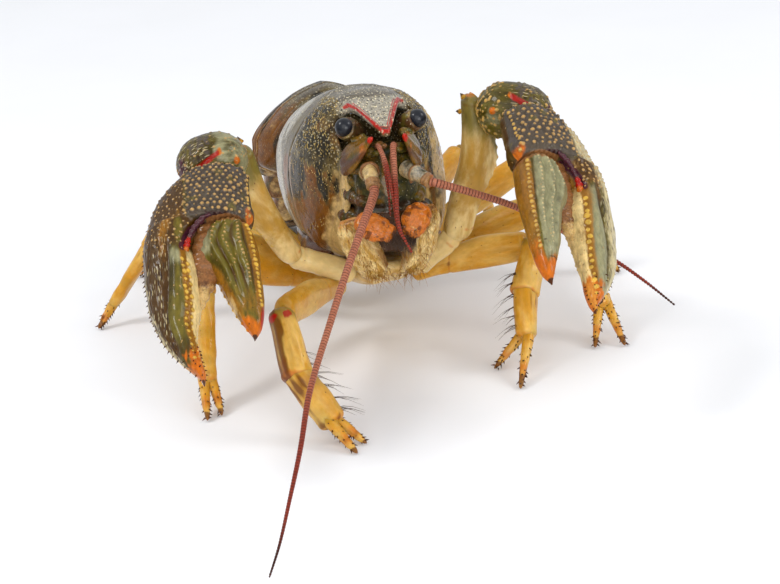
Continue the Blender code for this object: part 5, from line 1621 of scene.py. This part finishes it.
# Of each walking leg: hip, knee, ankle, fork, and the tips of its fingers or its nail
LEG = {
    "2_right": ((-5.4, 22, 9.8), (-20.9, -3.7, 16.1), (-20.8, -10.8, 9.2), (-17.3, -16.1, 3.3),
        (-13.3, -19.6, 0.3), (-15.5, -22.4, 0.3)),
    "2_left": ((6.7, 21.6, 10.2), (23.6, 8.7, 16.4), (19.6, 3.3, 10.8), (18.1, -0.6, 5.2),
        (12.7, -0.5, 0.3), (13.7, -9.7, 0.3)),
    "3_right": ((-6.4, 26.4, 10.2), (-26.8, 17.7, 22.1), (-28.9, 13.6, 15.5), (-31.4, 4.7, 4.6),
        (-33, -1.3, 0.3), (-30.6, -0.4, 0.3)),
    "3_left": ((7.9, 26.2, 10.2), (33.3, 18.5, 20), (32.9, 12.7, 13.3), (33.6, 6.2, 5.2),
        (30, 0.9, 0.3), (34.6, -0.3, 0.3)),
    "4_right": ((-6.6, 31.4, 10), (-28.8, 44.5, 18.6), (-31.7, 45.5, 13.4), (-38.7, 47, 3.7),
        (-42, 45.3, 0.3)),
    "4_left": ((8.2, 31.4, 10), (33.6, 38.4, 20.6), (39.3, 37.2, 13), (44.4, 34.4, 4.2),
        (46.5, 31.6, 0.3)),
    "5_right": ((-5.6, 36.6, 9.6), (-22, 55, 19.5), (-26, 60.5, 11.6), (-29, 66, 3.6),
        (-31, 69, 0.3)),
    "5_left": ((7.4, 36.6, 9.6), (26, 53.5, 19.5), (30.5, 58.5, 11.6), (34, 63.5, 3.6),
        (36, 66.5, 0.3)),
}
# An upper part that is deeper than the others, and half widths below the knee, at the ankle and at the fork
LEG_DEEP = {"3_right": 1.45}
LEG_HALF = {"2": (1.9, 2.4, 2.1), "3": (1.5, 1.8, 1.7), "4": (1.4, 1.7, 1.2), "5": (1.3, 1.4, 1.1)}
LEG_HAIRS = 30
HAIRS_IN_TUFT = 5


def make_legs():
    """The eight walking legs, with bristles and spines."""
    random = np.random.default_rng(SEED + 5)
    hairs, spots = [], []
    for name, (hip, knee, ankle, fork, *tips) in LEG.items():
        upper_half, ankle_half, fork_half = LEG_HALF[name[0]]
        deep = LEG_DEEP.get(name, 1)
        outward = Vector((knee[0] - hip[0], knee[1] - hip[1], 0)).normalized()
        run = shortened(hip, knee, 0, 0.9)
        length = span(*run)

        def upper_relief(co, turn, way, length=length):
            y = co[:, 1]
            streak = noise(co * (1.6, 0.25, 1), 1.3, 151)
            seam = hump(y, length * 0.34 + 0.4 * co[:, 2], 0.3)
            end = hump(y, length - 0.5, 0.6)
            return -0.12 * seam + 0.12 * end + 0.12 * noise(co, 3.2, 141), {
                "orange": 0.6 * seam + 0.4 * end, "cream": 0.45 * step(0.2, 0.8, noise(co, 4, 142) + 0.3),
                "green": 0.5 * step(0.82, 1, y / length) * (co[:, 2] > 0), "dots": 0.6,
                "brown": 0.45 * step(0.3, 0.9, streak) + 0.3 * seam}

        mesh = limb(f"leg_{name}_upper_skin", length, ((0, 1.3), (length * 0.3, 1.5), (length, 1.6)),
            ((0, 1.6 * deep), (length * 0.25, 1.9 * deep), (length * 0.6, 2.6 * deep), (length, 2.2)),
            50, 110, (1, 1.4), 0.5 if deep == 1.0 else -0.8, relief=upper_relief,
            placing=STAND @ lay(*run, (0, 0, 1)))
        wear([mesh], leg_finish(), [f"leg_{name}_upper"])

        parts = []
        run = shortened(knee, ankle, -0.9, -1)
        length = span(*run)

        def shin_relief(co, turn, way, length=length, big=name[0] == "2", dusky=float(name == "2_right")):
            y = co[:, 1]
            ridge = hump(np.cos(2 * math.pi * turn), 0.3, 0.2)
            spot = hump(y, 1.8, 0.9) * hump(np.sin(2 * math.pi * turn), 0.75, 0.6)
            streak = noise(co * (1.6, 0.25, 1), 1.1, 152)
            outside = step(-0.8, 0.8, co[:, 0] * (1 if "right" in name else -1) / upper_half)
            lift = (0.1 * ridge + 0.14 * noise(co, 2.2, 143) + 0.12 * hump(y, length - 0.6, 0.5)
                + 0.06 * streak)
            return lift, {
                "red": 0.95 * big * spot * step(0, 0.5, noise(co, 0.7, 144) + 0.35),
                "green": 0.7 * hump(y, 1, 2.2) + 0.4 * outside * step(0, 0.6, -streak),
                "orange": 0.6 * hump(y, length - 0.4, 0.6) + 0.2 * ridge
                    + 0.5 * dusky * outside * step(0.55, 0.8, y / length),
                "brown": 0.25 * ridge + (0.15 + 0.6 * dusky) * (0.95 + 0.6 * streak) * outside
                    + 0.35 * step(0.3, 0.9, streak),
                "cream": (0.3 + 0.35 * dusky) * (1 - outside) * step(-0.4, 0.3, streak), "dots": 0.7}

        parts.append(limb(f"leg_{name}_lower_skin", length, ((0, upper_half), (length, ankle_half)),
            ((0, upper_half), (length, ankle_half * 0.9)), 56, 60, (1.4, 1.2), relief=shin_relief,
            placing=STAND @ lay(*run, outward + Vector((0, 0, 0.4)))))
        run = shortened(ankle, fork, -0.6, -0.9)
        length = span(*run)

        def hand_relief(co, turn, way, length=length, dusky=float(name == "2_right")):
            y = co[:, 1]
            streak = noise(co * (1.6, 0.25, 1), 1, 153)
            olive = noise(co, 2.4, 154)
            return 0.14 * noise(co, 1.8, 145) + 0.1 * hump(y, 0.7, 0.4) + 0.06 * streak, {
                "orange": 0.5 * hump(y, 0.4, 0.6) + 0.5 * hump(y, length - 0.5, 0.7), "dots": 0.9,
                "brown": 0.4 * step(0.2, 0.9, streak) + 0.3 * dusky + 0.3 * olive,
                "green": 0.45 * step(-0.3, 0.6, -olive)}

        parts.append(limb("hand", length,
            ((0, ankle_half * 0.8), (length * 0.5, ankle_half), (length, fork_half)),
            ((0, ankle_half * 0.75), (length, fork_half * 0.75)), 50, 60, (0.9, 1.2),
            relief=hand_relief, placing=STAND @ lay(*run, outward)))
        spread = (Vector(tips[0]) - Vector(tips[-1])).normalized() * (fork_half * 0.5)
        for tip, hand in zip(tips, (1, -1)):
            way_out = (Vector(tip) - Vector(fork)).normalized()
            start = Vector(fork) - way_out * 2.0 + spread * hand
            length = span(start, tip)

            def nail_relief(co, turn, way, length=length):
                share = co[:, 1] / length
                return 0.07 * noise(co, 0.9, 147), {
                    "brown": step(0.66, 0.95, share + 0.2 * noise(co, 0.8, 148))
                        + 0.45 * step(0.2, 0.8, noise(co, 0.9, 149)),
                    "orange": 0.6 * hump(share, 0.7, 0.2), "dots": 0.9}

            placing = lay(start, tip, outward)
            parts.append(limb("nail", length,
                ((0, 1), (length * 0.55, 0.72), (length * 0.9, 0.42), (length, 0.15)),
                ((0, 1), (length * 0.55, 0.68), (length * 0.9, 0.4), (length, 0.15)), 36, 60, (0.6, 0.4),
                relief=nail_relief, placing=STAND @ placing))
            for share in np.arange(0.25, 0.97, 0.07):
                for turn in random.uniform(0, 2 * math.pi, 3):
                    out = Vector((math.cos(turn), 0, math.sin(turn)))
                    half = 0.78 - 0.45 * share**2
                    root = placing @ ((out * half + Vector((0, share * length, 0))) * MM) / MM
                    aim = placing.to_3x3() @ (out + Vector((0, 0.9, 0)))
                    if root.z > 0.4:
                        spots.append((root, aim, random.uniform(0.35, 0.75), 0.15))
        wear(parts, leg_finish(), [f"leg_{name}_lower"])
        inward = Vector((-1.0 if name.endswith("left") else 1, -0.25, 0.1))
        if name[0] == "2":
            for k in range(LEG_HAIRS):
                share = (k // HAIRS_IN_TUFT) / 6 + random.uniform(0, 0.06)
                root = Vector(ankle).lerp(Vector(fork), share * 1.5 - 0.5)
                lift = Vector((0, 0, 0.25 * random.uniform(-1, 1)))
                hairs.append(curl(root + inward * 1.6, inward + lift, random.uniform(2.2, 5),
                    (0, -0.25, -0.3), random))
    for path in hairs:
        for place in path:
            place.z = max(place.z, 0.1)
    wear([threads("leg_bristles", hairs, size("hair_thickness"), STAND)],
        bristle_finish("chitin_bristle_brown", "bristle_brown"))
    wear([spikes("leg_spines", spots, STAND, 5)], foot_spine_finish())


# --- Stage --------------------------------------------------------------------------------------------------

# Where the photo was taken from, before the animal is set on the frame's origin, and how the camera is held
CAMERA_PLACE = Vector((-83.3, -299.5, 128.3))
CAMERA_ROLL = math.radians(4)
CAMERA_AZIMUTH = math.radians(-15)
CAMERA_HEIGHT = math.radians(20)
# The lens that shows the animal as large as in the photo: its focal length and the photo's width, in pixels
SENSOR = 36.0
CAMERA_LENS = SENSOR * 2180.0 / 780.0
CLOSEST = 0.01
FLOOR_HALF = 3.0
# Each soft light's place, width, both in metres, and power in watts
SOFTBOXES = {
    "softbox_above": ((0, 0.1, 0.8), 1.6, 1.3),
    "softbox_left": ((-0.4, 0.05, 0.5), 0.16, 1.2),
    "softbox_right": ((0.45, -0.12, 0.42), 0.2, 0.7),
    "softbox_front": ((-0.25, -0.7, 0.4), 0.7, 2.7),
    "softbox_low": ((0.1, -0.6, 0.12), 0.3, 1.3),
}
LIT_PLACE = Vector((0, 0, 0.02))
SKY_STRENGTH = 0.68


def set_stage():
    """The floor, the light and the camera."""
    shape = bmesh.new()
    bmesh.ops.create_grid(shape, x_segments=1, y_segments=1, size=FLOOR_HALF)
    mesh = finished(shape, "floor")
    floor = bpy.data.objects.new("floor", mesh)
    bpy.context.scene.collection.objects.link(floor)
    # Matt white paper, evenly lit
    paper, tree, shader = blank("paper_white_matt")
    spot = add(tree, "ShaderNodeTexCoord", out="Object")
    grain = add(tree, "ShaderNodeTexNoise", {"Vector": spot, "Scale": 30, "Detail": 3.0})
    base = add(tree, "ShaderNodeMix", {FACTOR: grain, UNDER: tone("floor_white"),
        OVER: (0.86, 0.86, 0.87, 1)}, out=MIXED, data_type="RGBA")
    feed(tree, shader, {"Base Color": base, "Roughness": 0.7, "Specular IOR Level": 0.2})
    mesh.materials.append(paper)

    world = bpy.data.worlds.new("studio")
    bpy.context.scene.world = world
    world.use_nodes = True
    feed(world.node_tree, world.node_tree.nodes["Background"],
        {"Color": (0.93, 0.96, 1, 1), "Strength": SKY_STRENGTH})
    for name, (place, wide, power) in SOFTBOXES.items():
        light = bpy.data.lights.new(name, "AREA")
        light.size = wide
        light.energy = power
        lamp = bpy.data.objects.new(name, light)
        lamp.location = place
        lamp.rotation_euler = (LIT_PLACE - Vector(place)).to_track_quat("-Z", "Y").to_euler()
        bpy.context.scene.collection.objects.link(lamp)

    right = Vector((math.cos(CAMERA_AZIMUTH), math.sin(CAMERA_AZIMUTH), 0))
    up = Vector((-right.y, right.x, 0)) * math.sin(CAMERA_HEIGHT) + Vector((0, 0, math.cos(CAMERA_HEIGHT)))
    back = right.cross(up)
    cosine, sine = math.cos(CAMERA_ROLL), math.sin(CAMERA_ROLL)
    lens = bpy.data.cameras.new("camera")
    lens.lens = CAMERA_LENS
    lens.sensor_width = SENSOR
    lens.clip_start = CLOSEST
    camera = bpy.data.objects.new("camera", lens)
    turned = Matrix((right * cosine - up * sine, right * sine + up * cosine, back)).transposed().to_4x4()
    camera.matrix_world = Matrix.Translation((CAMERA_PLACE - STAND_MIDDLE) * MM) @ turned
    bpy.context.scene.collection.objects.link(camera)
    bpy.context.scene.camera = camera
    bpy.context.scene.view_settings.view_transform = "Standard"


# --- Add-on -------------------------------------------------------------------------------------------------


class CrayfishColours(bpy.types.PropertyGroup):
    """The colours of the animal"""

    __annotations__ = {
        name: bpy.props.FloatVectorProperty(
            name=name.replace("_", " ").capitalize(), description=use, subtype="COLOR", size=3, min=0.0,
            max=1.0, default=linear(hexes),
        )
        for name, (hexes, use) in COLOURS.items()
    }


class CrayfishSizes(bpy.types.PropertyGroup):
    """The sizes of its fine detail"""

    __annotations__ = {
        name: bpy.props.FloatProperty(
            name=name.replace("_", " ").capitalize(), description=use, subtype="DISTANCE", unit="LENGTH",
            min=1e-5, precision=5, default=held * MM,
        )
        for name, (held, use) in SIZES.items()
    }


def operator(name, label, work):
    """An operator that makes one group of pieces, told as the function that makes it."""

    def execute(self, context):
        work()
        return {"FINISHED"}

    return type("CRAYFISH_OT_" + name, (bpy.types.Operator,), {
        "__doc__": work.__doc__, "bl_idname": "crayfish." + name, "bl_label": label, "execute": execute})


STEPS = (
    operator("stage", "Stage", set_stage),
    operator("carapace", "Carapace", make_carapace),
    operator("face", "Face", make_face),
    operator("scales", "Antennal scales", make_scales),
    operator("eyes", "Eyes", make_eyes),
    operator("feelers", "Feelers", make_feelers),
    operator("mouth", "Mouth legs", make_mouth),
    operator("chest", "Chest", make_chest),
    operator("abdomen", "Abdomen", make_abdomen),
    operator("tail_fan", "Tail fan", make_tail_fan),
    operator("claw_arms", "Claw arms", make_claw_arms),
    operator("legs", "Walking legs", make_legs),
)


class CRAYFISH_PT_panel(bpy.types.Panel):
    """Lists what makes the crayfish"""

    bl_label = "Crayfish"
    bl_space_type = "VIEW_3D"
    bl_region_type = "UI"
    bl_category = "Crayfish"

    def draw(self, context):
        for made in STEPS:
            self.layout.operator(made.bl_idname)
        for name in SIZES:
            self.layout.prop(context.scene.crayfish_sizes, name)
        for name in COLOURS:
            self.layout.prop(context.scene.crayfish_colours, name)


CLASSES = (CrayfishColours, CrayfishSizes, *STEPS, CRAYFISH_PT_panel)


def register():
    """Adds the classes and the settings that the panel shows."""
    for made in CLASSES:
        bpy.utils.register_class(made)
    bpy.types.Scene.crayfish_colours = bpy.props.PointerProperty(type=CrayfishColours)
    bpy.types.Scene.crayfish_sizes = bpy.props.PointerProperty(type=CrayfishSizes)


def unregister():
    """Takes out what register added."""
    del bpy.types.Scene.crayfish_colours
    del bpy.types.Scene.crayfish_sizes
    for made in reversed(CLASSES):
        bpy.utils.unregister_class(made)


def main():
    """Makes every group of pieces in order, then writes both boxes."""
    register()
    for made in STEPS:
        getattr(bpy.ops.crayfish, made.bl_idname.split(".")[1])()


if __name__ == "__main__":
    main()
